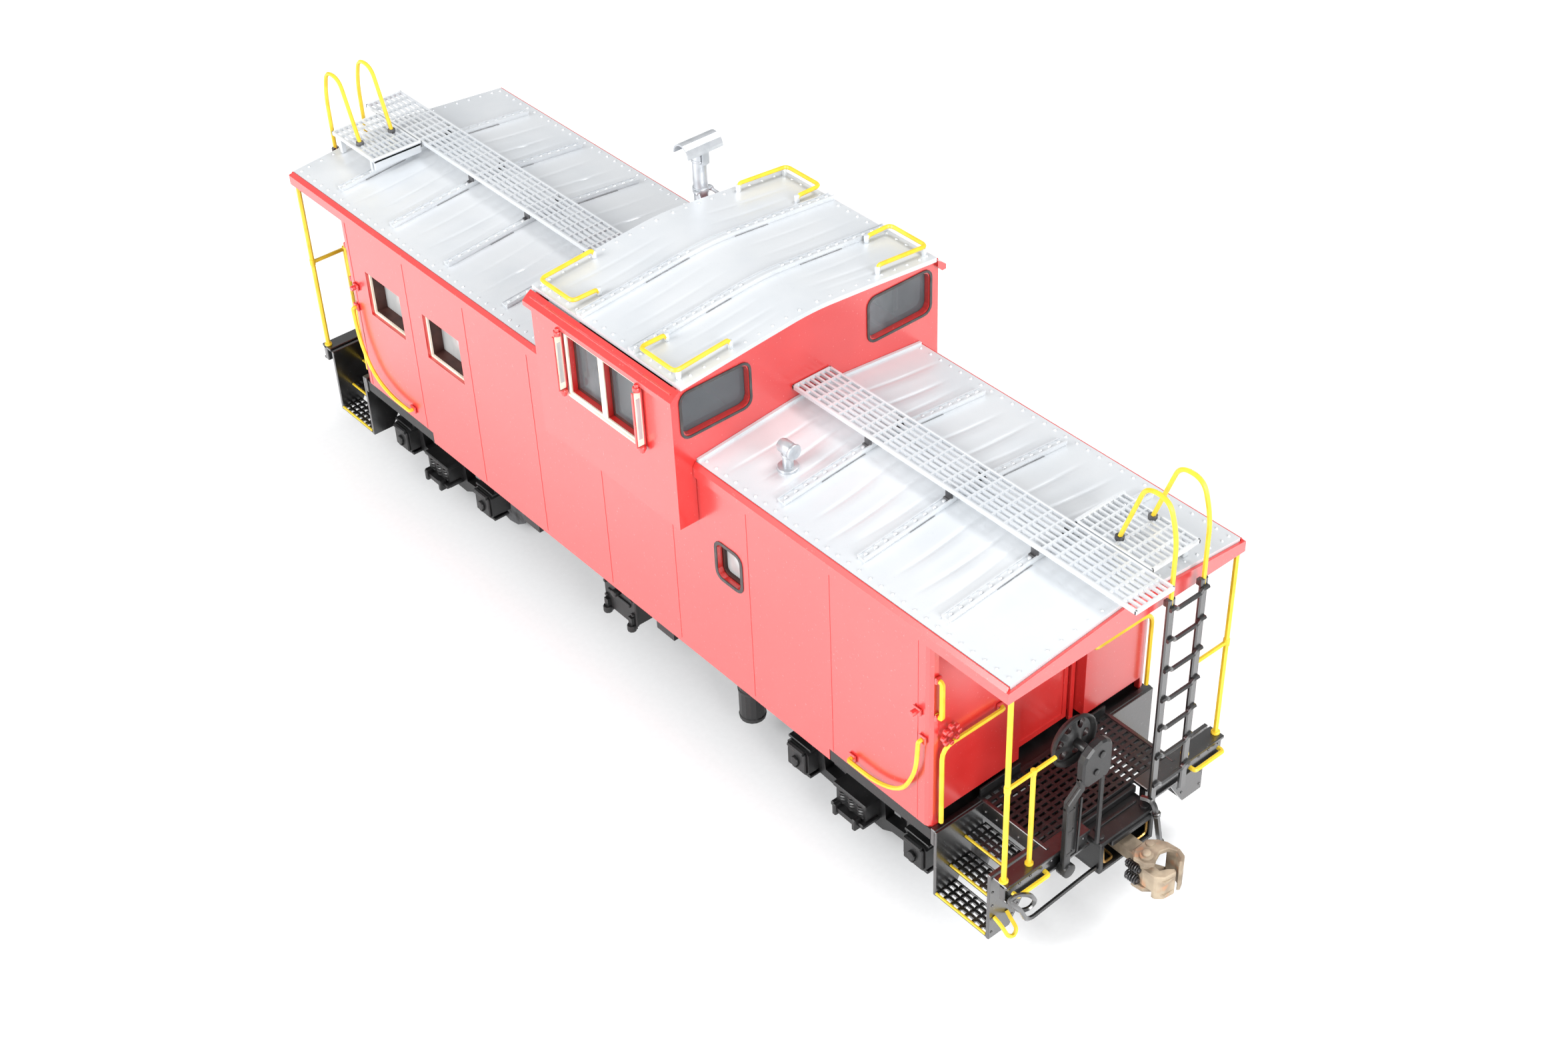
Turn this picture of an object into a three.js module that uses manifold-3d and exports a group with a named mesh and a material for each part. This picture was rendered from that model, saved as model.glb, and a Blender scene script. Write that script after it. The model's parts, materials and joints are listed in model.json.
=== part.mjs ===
// Model caboose with a wide cupola, scale 1:87, built of separate brass-model pieces.
// Millimetres. +X runs along the car to the A end, +Y to its left side, +Z up.
// The origin is under the middle of the car, at the level of the wheel flanges.
import * as THREE from 'three';
import { mergeVertices } from 'three/addons/utils/BufferGeometryUtils.js';
import Module from 'manifold-3d';

const wasm = await Module();
wasm.setup();

// ---- driving dimensions ----
const GAP = 0.04;                 // clearance between pieces that touch
const WALL = 0.7;                 // shell wall
const BODY = { x: 54.1, y: 16.1, bottom: 15.0, skirt: 13.4, top: 41.4 };
const SKIRT_X = 38.4;             // half length of the deeper middle skirt
const ROOF = { x: 64.4, y: 15.96, eave: 42.1, ridge: 43.6, sheet: 0.6 };
const FASCIA = { x: 64.75, y: 16.5, bottom: 40.3 };
const CUPOLA = { x0: -6.8, x1: 17.84, y: 18.67, bottom: 34.2 };
const CUPOLA_ROOF = { x0: -7.5, x1: 18.54, y: 17.79, eave: 52.8, ridge: 54.4, sheet: 0.6 };
const DOOR = { y0: -3.5, y1: 6.2, depth: 1.9 };
const WALK = { half: 2.7, end: 67.5, top: 45.4, sheet: 0.5 };
const SIDE_WALK = { x0: 54.2, x1: 64.4, y0: 2.9, y1: 9.75 };
const STRAPS_A = [29.6, 41.8, 53.9];
const STRAPS_B = [-19.8, -31.9, -43.9, -55.8];
const DECK = { x0: 54.18, x1: 65.2, y: 9.6, top: 15.3, sheet: 0.6 };
const SILL = { x0: 64.2, x1: 65.3, y: 16.2, bottom: 13.0 };
const STEP = { x0: 54.7, x1: 63.0, plate: 0.45, outer: 16.2, bottom: 5.7 };
const TREADS = [[16.2, 6.2], [14.2, 9.1], [12.1, 12.0]];
const TREAD_RUN = 3.0;
const POST = { x: 64.4, y: 15.75 };
const LADDER = { x: 66.0, y0: 4.1, y1: 8.8, bottom: 14.05, top: 42.0, rungs: 7 };
const LOOP = { apex: 53.4, foot: 59.0 };
const WIRE = 0.34;                // radius of grab iron wire
const TRUCK = { a: 39.3, b: 42.4, half_base: 9.62, side: 10.65, side_depth: 1.3, box: 13.4 };
const WHEEL = { axle: 5.45, tread: 4.81, flange: 5.45, inner: 7.25, outer: 10.05, journal: 0.5 };
const DRAFT = { x0: 57.6, x1: 66.7, y: 4.05, z0: 9.5, z1: 14.0, wall: 0.6, pivot: 60.4, shank: 11.2 };
const NOTCH = { x: 63.3, y: 4.2 };       // the deck and end sill stop short over the draft box
const KNUCKLE_PIN = { x: 70.1, y: -0.9 };

// ---- finishes ----
function finish(color, roughness, metalness) {
  return { color, roughness, metalness };
}
const RED = finish(0xc8202a, 0.45, 0.0);
const SILVER = finish(0xc3c8cf, 0.4, 0.6);
const YELLOW = finish(0xf0d51e, 0.5, 0.0);
const BLACK = finish(0x161616, 0.5, 0.0);
const STEEL = finish(0x5a5a5c, 0.35, 0.9);
const RUST = finish(0x8a6648, 0.75, 0.3);
const CLEAR = finish(0xdfe6ea, 0.08, 0.0);

// ---- solids ----
function solid(geometry) {
  const bare = geometry.clone();
  bare.deleteAttribute('normal');
  bare.deleteAttribute('uv');
  const merged = mergeVertices(bare, 1e-4);
  const points = Float32Array.from(merged.attributes.position.array);
  const corners = Uint32Array.from(merged.index.array);
  const body = new wasm.Manifold(new wasm.Mesh({ numProp: 3, vertProperties: points, triVerts: corners }));
  if (body.volume() > 0) return body;
  corners.reverse();
  return new wasm.Manifold(new wasm.Mesh({ numProp: 3, vertProperties: points, triVerts: corners }));
}

function join(...bodies) {
  return bodies.reduce((whole, body) => whole.add(body));
}

function box(x0, x1, y0, y1, z0, z1) {
  const block = new THREE.BoxGeometry(x1 - x0, y1 - y0, z1 - z0);
  return solid(block.translate((x0 + x1) / 2, (y0 + y1) / 2, (z0 + z1) / 2));
}

// An outline pushed along an axis: (y, z) along x, (x, z) along y, (x, y) along z.
function prism(axis, outline, from, to) {
  const shape = new THREE.Shape(outline.map(([u, v]) => new THREE.Vector2(u, v)));
  const body = new THREE.ExtrudeGeometry(shape, { depth: to - from, bevelEnabled: false });
  const turn = {
    x: new THREE.Matrix4().set(0, 0, 1, from, 1, 0, 0, 0, 0, 1, 0, 0, 0, 0, 0, 1),
    y: new THREE.Matrix4().set(1, 0, 0, 0, 0, 0, -1, to, 0, 1, 0, 0, 0, 0, 0, 1),
    z: new THREE.Matrix4().makeTranslation(0, 0, from),
  };
  return solid(body.applyMatrix4(turn[axis]));
}

function roundedRectangle(u0, u1, v0, v1, radius, steps = 3) {
  const corners = [[u1, v0, -90, -1, 1], [u1, v1, 0, -1, -1], [u0, v1, 90, 1, -1], [u0, v0, 180, 1, 1]];
  const outline = [];
  for (const [u, v, start, su, sv] of corners) {
    for (let i = 0; i <= steps; i += 1) {
      const angle = THREE.MathUtils.degToRad(start + (90 * i) / steps);
      outline.push([u + su * radius + radius * Math.cos(angle), v + sv * radius + radius * Math.sin(angle)]);
    }
  }
  return outline;
}

function cylinder(axis, [x, y, z], radius, length, sides = 12) {
  const rod = new THREE.CylinderGeometry(radius, radius, length, sides);
  if (axis === 'x') rod.rotateZ(-Math.PI / 2);
  if (axis === 'z') rod.rotateX(Math.PI / 2);
  return solid(rod.translate(x, y, z));
}

// A bent wire: straight runs between the points, with each corner turned in two short steps.
class Bend extends THREE.Curve {
  constructor(points) {
    super();
    this.points = points;
  }
  getPoint(t, target = new THREE.Vector3()) {
    const last = this.points.length - 1;
    const at = Math.min(t * last, last - 1e-9);
    const i = Math.floor(at);
    return target.lerpVectors(this.points[i], this.points[i + 1], at - i);
  }
  getPointAt(t, target) {
    return this.getPoint(t, target);
  }
  getTangent(t, target = new THREE.Vector3()) {
    const last = this.points.length - 1;
    const i = Math.round(t * last);
    const before = this.points[Math.max(i - 1, 0)];
    const here = this.points[i];
    const after = this.points[Math.min(i + 1, last)];
    const arriving = here.clone().sub(before).normalize();
    const leaving = after.clone().sub(here).normalize();
    return target.addVectors(arriving, leaving).normalize();
  }
  getTangentAt(t, target) {
    return this.getTangent(t, target);
  }
}

function wire(corners, radius, bend = 1.2, sides = 6) {
  const at = corners.map((c) => new THREE.Vector3(...c));
  const route = [at[0]];
  for (let i = 1; i < at.length - 1; i += 1) {
    const back = at[i - 1].clone().sub(at[i]);
    const on = at[i + 1].clone().sub(at[i]);
    const reach = Math.min(bend, back.length() / 2.2, on.length() / 2.2);
    const start = at[i].clone().addScaledVector(back.normalize(), reach);
    const end = at[i].clone().addScaledVector(on.normalize(), reach);
    const middle = start.clone().add(end).multiplyScalar(0.25).addScaledVector(at[i], 0.5);
    route.push(start, middle, end);
  }
  route.push(at[at.length - 1]);
  const ring = Array.from({ length: sides }, (_, i) => {
    const angle = (2 * Math.PI * i) / sides;
    return new THREE.Vector2(radius * Math.cos(angle), radius * Math.sin(angle));
  });
  const tube = new THREE.ExtrudeGeometry(new THREE.Shape(ring), {
    steps: route.length - 1, extrudePath: new Bend(route), bevelEnabled: false,
  });
  return solid(tube);
}

function toMesh(name, body, look) {
  const mesh = body.getMesh();
  const geometry = new THREE.BufferGeometry();
  geometry.setAttribute('position', new THREE.BufferAttribute(mesh.vertProperties, 3));
  geometry.setIndex(new THREE.BufferAttribute(mesh.triVerts, 1));
  geometry.computeVertexNormals();
  const result = new THREE.Mesh(geometry, new THREE.MeshStandardMaterial(look));
  result.name = name;
  return result;
}

// ---- roof sections ----
function slope(roof, y) {
  return roof.ridge - ((roof.ridge - roof.eave) * Math.abs(y)) / roof.y;
}

function gable(roof, half, lift, thickness) {
  const low = slope(roof, half) + lift;
  const high = roof.ridge + lift;
  return [[-half, low - thickness], [0, high - thickness], [half, low - thickness],
    [half, low], [0, high], [-half, low]];
}

function roofSheet(roof, x0, x1, straps) {
  const sheet = prism('x', gable(roof, roof.y, 0, roof.sheet), x0, x1);
  const ribs = straps.map((x) => prism('x', gable(roof, roof.y, 0.25, 0.5), x - 0.55, x + 0.55));
  return join(sheet, ...ribs);
}

// ---- body ----
const BODY_WINDOWS = [[-49.4, -41.5], [-36.4, -28.4]];   // the two square windows, x from and to
const SMALL_WINDOW = [20.6, 24.6];
const WINDOW_Z = [27.7, 34.1];

function alcove(sign) {
  const face = sign * BODY.x;
  const back = face - sign * (DOOR.depth + WALL);
  const ys = [sign * (DOOR.y0 - WALL), sign * (DOOR.y1 + WALL)].sort((a, b) => a - b);
  const xs = [face, back].sort((a, b) => a - b);
  return box(xs[0], xs[1], ys[0], ys[1], DECK.top + GAP, BODY.top);
}

function doorway(sign) {
  const xs = [sign * (BODY.x - DOOR.depth), sign * (BODY.x + 1)].sort((a, b) => a - b);
  const ys = [sign * DOOR.y0, sign * DOOR.y1].sort((a, b) => a - b);
  return box(xs[0], xs[1], ys[0], ys[1], BODY.skirt, BODY.top - WALL);
}

function bodyShell() {
  const outer = roundedRectangle(-BODY.x, BODY.x, -BODY.y, BODY.y, 0.9);
  const inner = roundedRectangle(-BODY.x + WALL, BODY.x - WALL, -BODY.y + WALL, BODY.y - WALL, 0.3, 1);
  let shell = prism('z', outer, BODY.skirt, BODY.top);
  shell = shell.subtract(prism('z', inner, BODY.skirt - 1, BODY.top + 1));
  for (const sign of [-1, 1]) {
    shell = shell.add(alcove(sign)).subtract(doorway(sign));
    const ends = [sign * SKIRT_X, sign * (BODY.x + 1)].sort((a, b) => a - b);
    shell = shell.subtract(box(ends[0], ends[1], -20, 20, 0, BODY.bottom));
    const wallEnd = [sign * (BODY.x - 3), sign * (BODY.x + 1)].sort((a, b) => a - b);
    shell = shell.subtract(box(wallEnd[0], wallEnd[1], -15, 15, 0, 16.7));
  }
  for (const [x0, x1] of BODY_WINDOWS) {
    shell = shell.subtract(box(x0, x1, -20, 20, WINDOW_Z[0], WINDOW_Z[1]));
  }
  const small = roundedRectangle(SMALL_WINDOW[0], SMALL_WINDOW[1], 28.2, 32.9, 0.9, 2);
  shell = shell.subtract(prism('y', small, -20, 20));
  return shell.add(fascia());
}

function fascia() {
  const under = ROOF.eave - ROOF.sheet - GAP;
  const ring = box(-FASCIA.x, FASCIA.x, -FASCIA.y, FASCIA.y, FASCIA.bottom, ROOF.eave - 0.05);
  const seat = ROOF.x - 0.9;
  const ledge = box(-seat, seat, -15.4, 15.4, FASCIA.bottom - 1, ROOF.ridge);
  const rebate = box(-ROOF.x - GAP, ROOF.x + GAP, -ROOF.y - GAP, ROOF.y + GAP, under, ROOF.ridge);
  let frame = ring.subtract(ledge).subtract(rebate);
  for (const sign of [-1, 1]) {
    const xs = [sign * (ROOF.x + GAP), sign * FASCIA.x].sort((a, b) => a - b);
    const panel = [[-FASCIA.y, FASCIA.bottom], [FASCIA.y, FASCIA.bottom], [FASCIA.y, ROOF.eave - 0.45],
      [0, ROOF.ridge - 0.45], [-FASCIA.y, ROOF.eave - 0.45]];
    frame = frame.subtract(box(xs[0], xs[1], -17, 17, FASCIA.bottom - 1, ROOF.ridge));
    frame = frame.add(prism('x', panel, xs[0], xs[1]));
    const chamfer = [[16.02, 42.2], [16.9, 42.2], [16.9, 41.0]].map(([u, v]) => [sign * u, v]);
    frame = frame.subtract(prism('x', chamfer, -FASCIA.x - 1, FASCIA.x + 1));
    const sides = [sign * 15.9, sign * 17].sort((a, b) => a - b);
    const bay = box(CUPOLA.x0 - GAP, CUPOLA.x1 + GAP, sides[0], sides[1], FASCIA.bottom - 1, ROOF.ridge);
    frame = frame.subtract(bay.subtract(box(-60, 60, -BODY.y, BODY.y, 0, BODY.top)));
  }
  return frame;
}

// ---- cupola ----
const CUPOLA_SIDE_WINDOW = [-0.2, 12.0, 42.8, 50.3];     // x from, to, z from, to
const CUPOLA_END_WINDOW = [8.5, 17.3, 45.8, 51.0];       // |y| from, to, z from, to

function cupolaShell() {
  const { x0, x1, y, bottom } = CUPOLA;
  const top = CUPOLA_ROOF.ridge;
  let shell = box(x0, x1, -y, y, bottom, top);
  shell = shell.subtract(box(x0 + WALL, x1 - WALL, -y + WALL, y - WALL, bottom + WALL, top + 1));
  shell = shell.subtract(box(x0 - 1, x1 + 1, -BODY.y - GAP, BODY.y + GAP, bottom - 1, BODY.top + 0.1));
  for (const sign of [-1, 1]) {
    const edge = [[17.98, 52.3], [18.6, 51.9], [19.2, 51.4], [19.2, 50.8], [18.6, 50.8], [17.98, 51.5]]
      .map(([u, v]) => [sign * u, v]);
    const parapet = [sign * 17.83, sign * (y + 1)].sort((a, b) => a - b);
    shell = shell.subtract(box(x0 - 1, x1 + 1, parapet[0], parapet[1], 52.0, top + 1));
    shell = shell.add(prism('x', edge, CUPOLA_ROOF.x0, CUPOLA_ROOF.x1));
    const xs = sign > 0 ? [x1 - 1, x1 + 1] : [x0 - 1, x0 + 1];
    for (const side of [-1, 1]) {
      const ys = [side * CUPOLA_END_WINDOW[0], side * CUPOLA_END_WINDOW[1]].sort((a, b) => a - b);
      const hole = roundedRectangle(ys[0], ys[1], CUPOLA_END_WINDOW[2], CUPOLA_END_WINDOW[3], 0.9, 2);
      shell = shell.subtract(prism('x', hole, xs[0], xs[1]));
    }
  }
  const [wx0, wx1, wz0, wz1] = CUPOLA_SIDE_WINDOW;
  const middle = (wx0 + wx1) / 2;
  shell = shell.subtract(box(wx0, middle - 0.35, -20, 20, wz0, wz1));
  shell = shell.subtract(box(middle + 0.35, wx1, -20, 20, wz0, wz1));
  // The walls stop just under the cupola roof.
  const half = 20;
  const low = slope(CUPOLA_ROOF, half) - CUPOLA_ROOF.sheet - GAP;
  const high = CUPOLA_ROOF.ridge - CUPOLA_ROOF.sheet - GAP;
  const above = [[-half, low], [0, high], [half, low], [half, high + 5], [-half, high + 5]];
  const underRoof = prism('x', above, x0 - 3, x1 + 3);
  const roofBand = box(x0 - 3, x1 + 3, -CUPOLA_ROOF.y - GAP, CUPOLA_ROOF.y + GAP, 40, 60);
  return shell.subtract(underRoof.intersect(roofBand));
}

function windDeflector(x, side) {
  const ys = [side * (CUPOLA.y + GAP), side * (CUPOLA.y + 1.3)].sort((a, b) => a - b);
  const plate = box(x - 0.15, x + 0.15, ys[0], ys[1], 42.9, 50.2);
  const lugs = [42.8, 50.3].map((z) => cylinder('y', [x, (ys[0] + ys[1]) / 2, z], 0.45, ys[1] - ys[0], 8));
  return join(plate, ...lugs);
}

// ---- glazing ----
function sideGlazing(side) {
  const ys = [side * (BODY.y - WALL - GAP), side * (BODY.y - WALL - 0.35)].sort((a, b) => a - b);
  return box(-51.5, 26.5, ys[0], ys[1], 26.5, 35.2);
}

function cupolaGlazing() {
  const inset = WALL + GAP;
  const { x0, x1, y } = CUPOLA;
  const outer = box(x0 + inset, x1 - inset, -y + inset, y - inset, BODY.top + 0.6, 51.5);
  const thin = inset + 0.35;
  return outer.subtract(box(x0 + thin, x1 - thin, -y + thin, y - thin, BODY.top, 55));
}

// ---- roof walks ----
function runningBoard(x0, x1, straps) {
  const board = box(x0, x1, -WALK.half, WALK.half, WALK.top - WALK.sheet, WALK.top);
  const legs = [];
  for (const x of straps) {
    for (const side of [-1, 1]) {
      const ys = [side * 1.9, side * 2.6].sort((a, b) => a - b);
      legs.push(box(x - 0.5, x + 0.5, ys[0], ys[1], slope(ROOF, 1.9) + 0.25 + GAP, WALK.top - 0.2));
    }
  }
  return join(board, ...legs);
}

function sideWalk() {
  const { x0, x1, y0, y1 } = SIDE_WALK;
  const board = box(x0, x1, y0, y1, WALK.top - WALK.sheet, WALK.top);
  const flange = box(x0, x0 + 0.3, y0, y1, WALK.top - 1.4, WALK.top - 0.2);
  const legs = [x0 + 1.2, x1 - 1.6].map((x) => box(x, x + 0.5, y1 - 0.8, y1 - 0.2,
    slope(ROOF, y1 - 0.8) + 0.25 + GAP, WALK.top - 0.2));
  return join(board, flange, ...legs);
}

// ---- roof fittings ----
function smokejack() {
  const [x, y] = [-9.6, 7.4];
  const foot = slope(ROOF, y) + GAP + 0.08;
  const stack = cylinder('z', [x, y, (foot + 59.9) / 2], 0.85, 59.9 - foot, 14);
  const collar = cylinder('z', [x, y, foot + 0.35], 1.5, 0.6, 14);
  const hood = cylinder('y', [x, y, 58.9], 1.35, 5.0, 16).subtract(cylinder('y', [x, y, 58.9], 1.1, 6.0, 16));
  const arch = hood.subtract(box(x - 2, x + 2, y - 3, y + 3, 56, 58.5));
  const stays = [[2.8, 51.4], [12.0, 51.4]].map(([to, z]) => (
    wire([[x, y, z], [CUPOLA.x0 - GAP - 0.2, to, z - 1.4]], 0.22)));
  return join(stack, collar, arch, ...stays);
}

function roofVent() {
  const [x, y] = [25.9, -10.1];
  const foot = slope(ROOF, Math.abs(y) - 1.3) + GAP;
  const profile = [[0, 0], [1.3, 0], [1.3, 0.35], [0.85, 0.55], [0.85, 2.4], [1.05, 2.9], [0.95, 3.9], [0.5, 4.35],
    [0, 4.45]];
  const stem = new THREE.LatheGeometry(profile.map(([r, h]) => new THREE.Vector2(r, h)), 14);
  const stand = solid(stem.rotateX(Math.PI / 2)).translate([x, y, foot]);
  return stand.add(cylinder('x', [x - 0.9, y, foot + 3.0], 0.75, 1.6, 12));
}

// ---- end platforms, in A end coordinates ----
function stepWell(side) {
  const { x0, x1, plate, outer, bottom } = STEP;
  const cheek = [[outer, bottom], [13.2, bottom], [11.1, 9.2], [10.95, 11.4], [9.4, 12.0], [9.4, DECK.top],
    [outer, DECK.top]];
  const outline = cheek.map(([y, z]) => [side * y, z]);
  const pieces = [prism('x', outline, x0, x0 + plate), prism('x', outline, x1 - plate, x1)];
  for (const [y, z] of TREADS) {
    const ys = [side * y, side * (y - TREAD_RUN)].sort((a, b) => a - b);
    pieces.push(box(x0 + 0.1, x1 - 0.1, ys[0], ys[1], z - 0.35, z));
  }
  return join(...pieces);
}

function endPlatform() {
  const { x0, x1, y, top, sheet } = DECK;
  const deck = box(x0, x1 - 0.5, -y, y, top - sheet, top);
  const upstand = box(x0, x0 + 0.3, -9.3, 9.3, top - sheet, top + 1.1);
  const sillBeam = box(SILL.x0, SILL.x1, -SILL.y, SILL.y, SILL.bottom, top);
  const edges = [-1, 1].map((side) => {
    const ys = [side * (y - 0.4), side * y].sort((a, b) => a - b);
    return box(x0, SILL.x0 + 0.2, ys[0], ys[1], top - 2.0, top);
  });
  const backs = [-1, 1].map((side) => {
    const ys = [side * (y - 0.4), side * SILL.y].sort((a, b) => a - b);
    return box(x0, STEP.x0 + 0.2, ys[0], ys[1], top - 2.3, top);
  });
  const platform = join(deck, upstand, sillBeam, ...edges, ...backs, stepWell(-1), stepWell(1));
  const doorSlot = box(x0 - 1, x0 + 0.31, DOOR.y0, DOOR.y1, top, top + 2);
  const notch = box(NOTCH.x, SILL.x1 + 1, -NOTCH.y, NOTCH.y, SILL.bottom - 1, top + 1);
  return platform.subtract(doorSlot).subtract(notch);
}

function cornerRailing(side, inner) {
  const post = wire([[POST.x, side * POST.y, DECK.top + GAP], [POST.x, side * POST.y, FASCIA.bottom - GAP]], 0.42);
  const rail = wire([[POST.x, side * POST.y, 28.4], [POST.x, side * inner.reach, 28.4]], WIRE);
  const short = wire([[POST.x, side * inner.post, 28.4], [POST.x, side * inner.post, DECK.top + GAP]], 0.38);
  return join(post, rail, short);
}

function ladder() {
  const { x, y0, y1, bottom, top, rungs } = LADDER;
  const pieces = [];
  for (const y of [y0, y1]) {
    pieces.push(box(x - 0.3, x + 0.3, y - 0.5, y + 0.5, bottom, top));
    pieces.push(wire([[x, y, top - 0.4], [x, y, 49.6], [x - 1.2, y, LOOP.apex], [x - 4.2, y, LOOP.apex],
    [LOOP.foot, y, WALK.top + 0.15]], 0.32, 2.4));
  }
  const pitch = (top - 1.0 - 17.0) / (rungs - 1);
  for (let i = 0; i < rungs; i += 1) {
    pieces.push(cylinder('y', [x, (y0 + y1) / 2, 17.0 + i * pitch], 0.26, y1 - y0, 6));
  }
  return join(...pieces);
}

const BRAKE = { wheel: [63.7, -5.8, 27.9] };

function brakeStand() {
  const face = SILL.x1 + GAP;
  const outline = [[-8.8, 12.3], [-7.8, 12.3], [-7.8, 22.2], [-6.3, 23.5], [-6.3, 25.0], [-7.1, 25.0], [-7.1, 24.1],
    [-8.8, 22.7]];
  const column = prism('x', outline, face, face + 0.9);
  const cover = [[-7.1, 24.4], [-6.4, 23.6], [-3.6, 23.6], [-3.0, 24.4], [-3.0, 27.6], [-3.6, 28.5], [-4.6, 28.9],
    [-5.8, 28.6], [-7.1, 27.2]];
  const housing = prism('x', cover, face - 0.1, face + 1.1);
  const pivot = cylinder('x', [face + 0.6, -8.3, 13.0], 0.8, 1.18, 12);
  const rod = box(face + 0.6, face + 1.05, -4.4, -3.8, DRAFT.z1 + GAP, 24.0);
  const [x, y, z] = BRAKE.wheel;
  const hub = cylinder('x', [(x + 0.14 + face) / 2, y, z], 0.55, face - x - 0.1, 10);
  return join(column, housing, pivot, rod, hub);
}

function brakeWheel() {
  const profile = [[0, 0.1], [0.9, 0.1], [2.2, -0.35], [2.9, -0.2], [3.1, 0.25], [3.4, 0.25], [3.4, -0.15], [2.9, -0.75],
    [2.2, -0.85], [0.9, -0.4], [0, -0.4]];
  const dish = new THREE.LatheGeometry(profile.reverse().map(([r, h]) => new THREE.Vector2(r, h)), 20);
  return solid(dish.rotateZ(-Math.PI / 2)).translate(BRAKE.wheel);
}

function endGrab(side) {
  const x = BODY.x + 0.75;
  const foot = DECK.top + 0.75;
  return wire([[BODY.x + GAP, side * 6.7, 26.6], [x, side * 6.7, 26.6], [x, side * 15.3, 26.6],
    [x, side * 15.3, foot]], 0.3, 1.4);
}

function sideGrab(side) {
  const face = BODY.y + GAP;
  const out = side * (BODY.y + 0.75);
  return wire([[53.0, side * face, 27.2], [53.0, out, 27.2], [52.5, out, 22.4], [50.4, out, 18.6], [46.6, out, 16.7],
    [42.3, out, 16.7], [42.3, side * face, 16.7]], 0.36, 1.0);
}

function cupolaGrab(side) {
  const z = 53.95;
  return wire([[11.4, side * 13.9, slope(CUPOLA_ROOF, 13.9) + 0.1], [11.4, side * 13.9, z], [11.4, side * 17.5, z],
    [17.3, side * 17.5, z], [17.3, side * 10.2, z], [17.3, side * 10.2, slope(CUPOLA_ROOF, 10.2) + 0.1]], 0.33, 0.9);
}

function uncouplingLever() {
  const start = -DRAFT.y - GAP;
  return wire([[66.2, start, 10.2], [66.2, start - 1.0, 10.2], [67.0, start - 1.6, 10.0], [67.0, -12.9, 9.2],
    [66.2, -13.3, 10.6], [66.9, -13.9, 12.5], [65.9, -14.7, 12.4]], 0.26, 0.8);
}

// ---- couplers ----
function draftBox() {
  const { x0, x1, y, z0, z1, wall, pivot } = DRAFT;
  const pocket = box(x0 + wall, x1 + 1, -y + wall, y - wall, z0 + wall, z1 - wall);
  const shell = box(x0, x1, -y, y, z0, z1).subtract(pocket);
  const post = cylinder('z', [pivot, 0, (z0 + z1) / 2], 0.8, z1 - z0 - 0.4, 10);
  const pad = box(x0, NOTCH.x - 0.2, -2.4, 2.4, z1 - 0.2, DECK.top - DECK.sheet - GAP);
  return join(shell, post, pad);
}

function couplerBody() {
  const { pivot, shank: z } = DRAFT;
  const eye = cylinder('z', [pivot, 0, z], 1.9, 1.4, 14);
  const shank = box(pivot + 1.2, 69.2, -1.1, 1.1, z - 0.7, z + 0.7);
  const bore = cylinder('z', [pivot, 0, z], 0.95, 3.0, 10);
  const top = [[67.9, -1.3], [69.0, -1.9], [71.1, -1.7], [71.1, 0.2], [70.4, 1.2], [70.4, 2.0], [72.4, 2.2], [73.0, 1.6],
    [73.4, 1.9], [73.0, 2.9], [70.6, 3.1], [68.8, 2.4]];
  const head = prism('z', top, 8.5, 12.9);
  const mouth = box(69.2, 72.0, -2.5, 1.15, 9.3, 11.9);
  return join(eye, shank, head).subtract(mouth).subtract(bore).subtract(knucklePin(0.55, 4.4));
}

function knucklePin(radius, length) {
  return cylinder('z', [KNUCKLE_PIN.x, KNUCKLE_PIN.y, 10.6], radius, length * 1.08, 10);
}

function knuckle() {
  const { x, y } = KNUCKLE_PIN;
  const hook = [[x - 0.75, y - 0.5], [x - 0.3, y - 0.85], [x + 1.4, y - 0.95], [x + 2.9, y - 0.6], [x + 3.1, y + 1.2],
    [x + 2.6, y + 1.5], [x + 2.1, y + 1.2], [x + 1.9, y + 0.5], [x + 0.8, y + 0.7], [x - 0.4, y + 0.75]];
  const claw = prism('z', hook, 9.35, 11.85);
  const face = [[x + 1.2, y - 0.95], [x + 2.9, y - 0.6], [x + 3.1, y + 1.2], [x + 2.6, y + 1.5], [x + 2.1, y + 1.2],
    [x + 1.9, y + 0.5], [x + 1.2, y + 0.4]];
  return join(claw, prism('z', face, 8.2, 12.2), knucklePin(0.5, 4.2));
}

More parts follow.
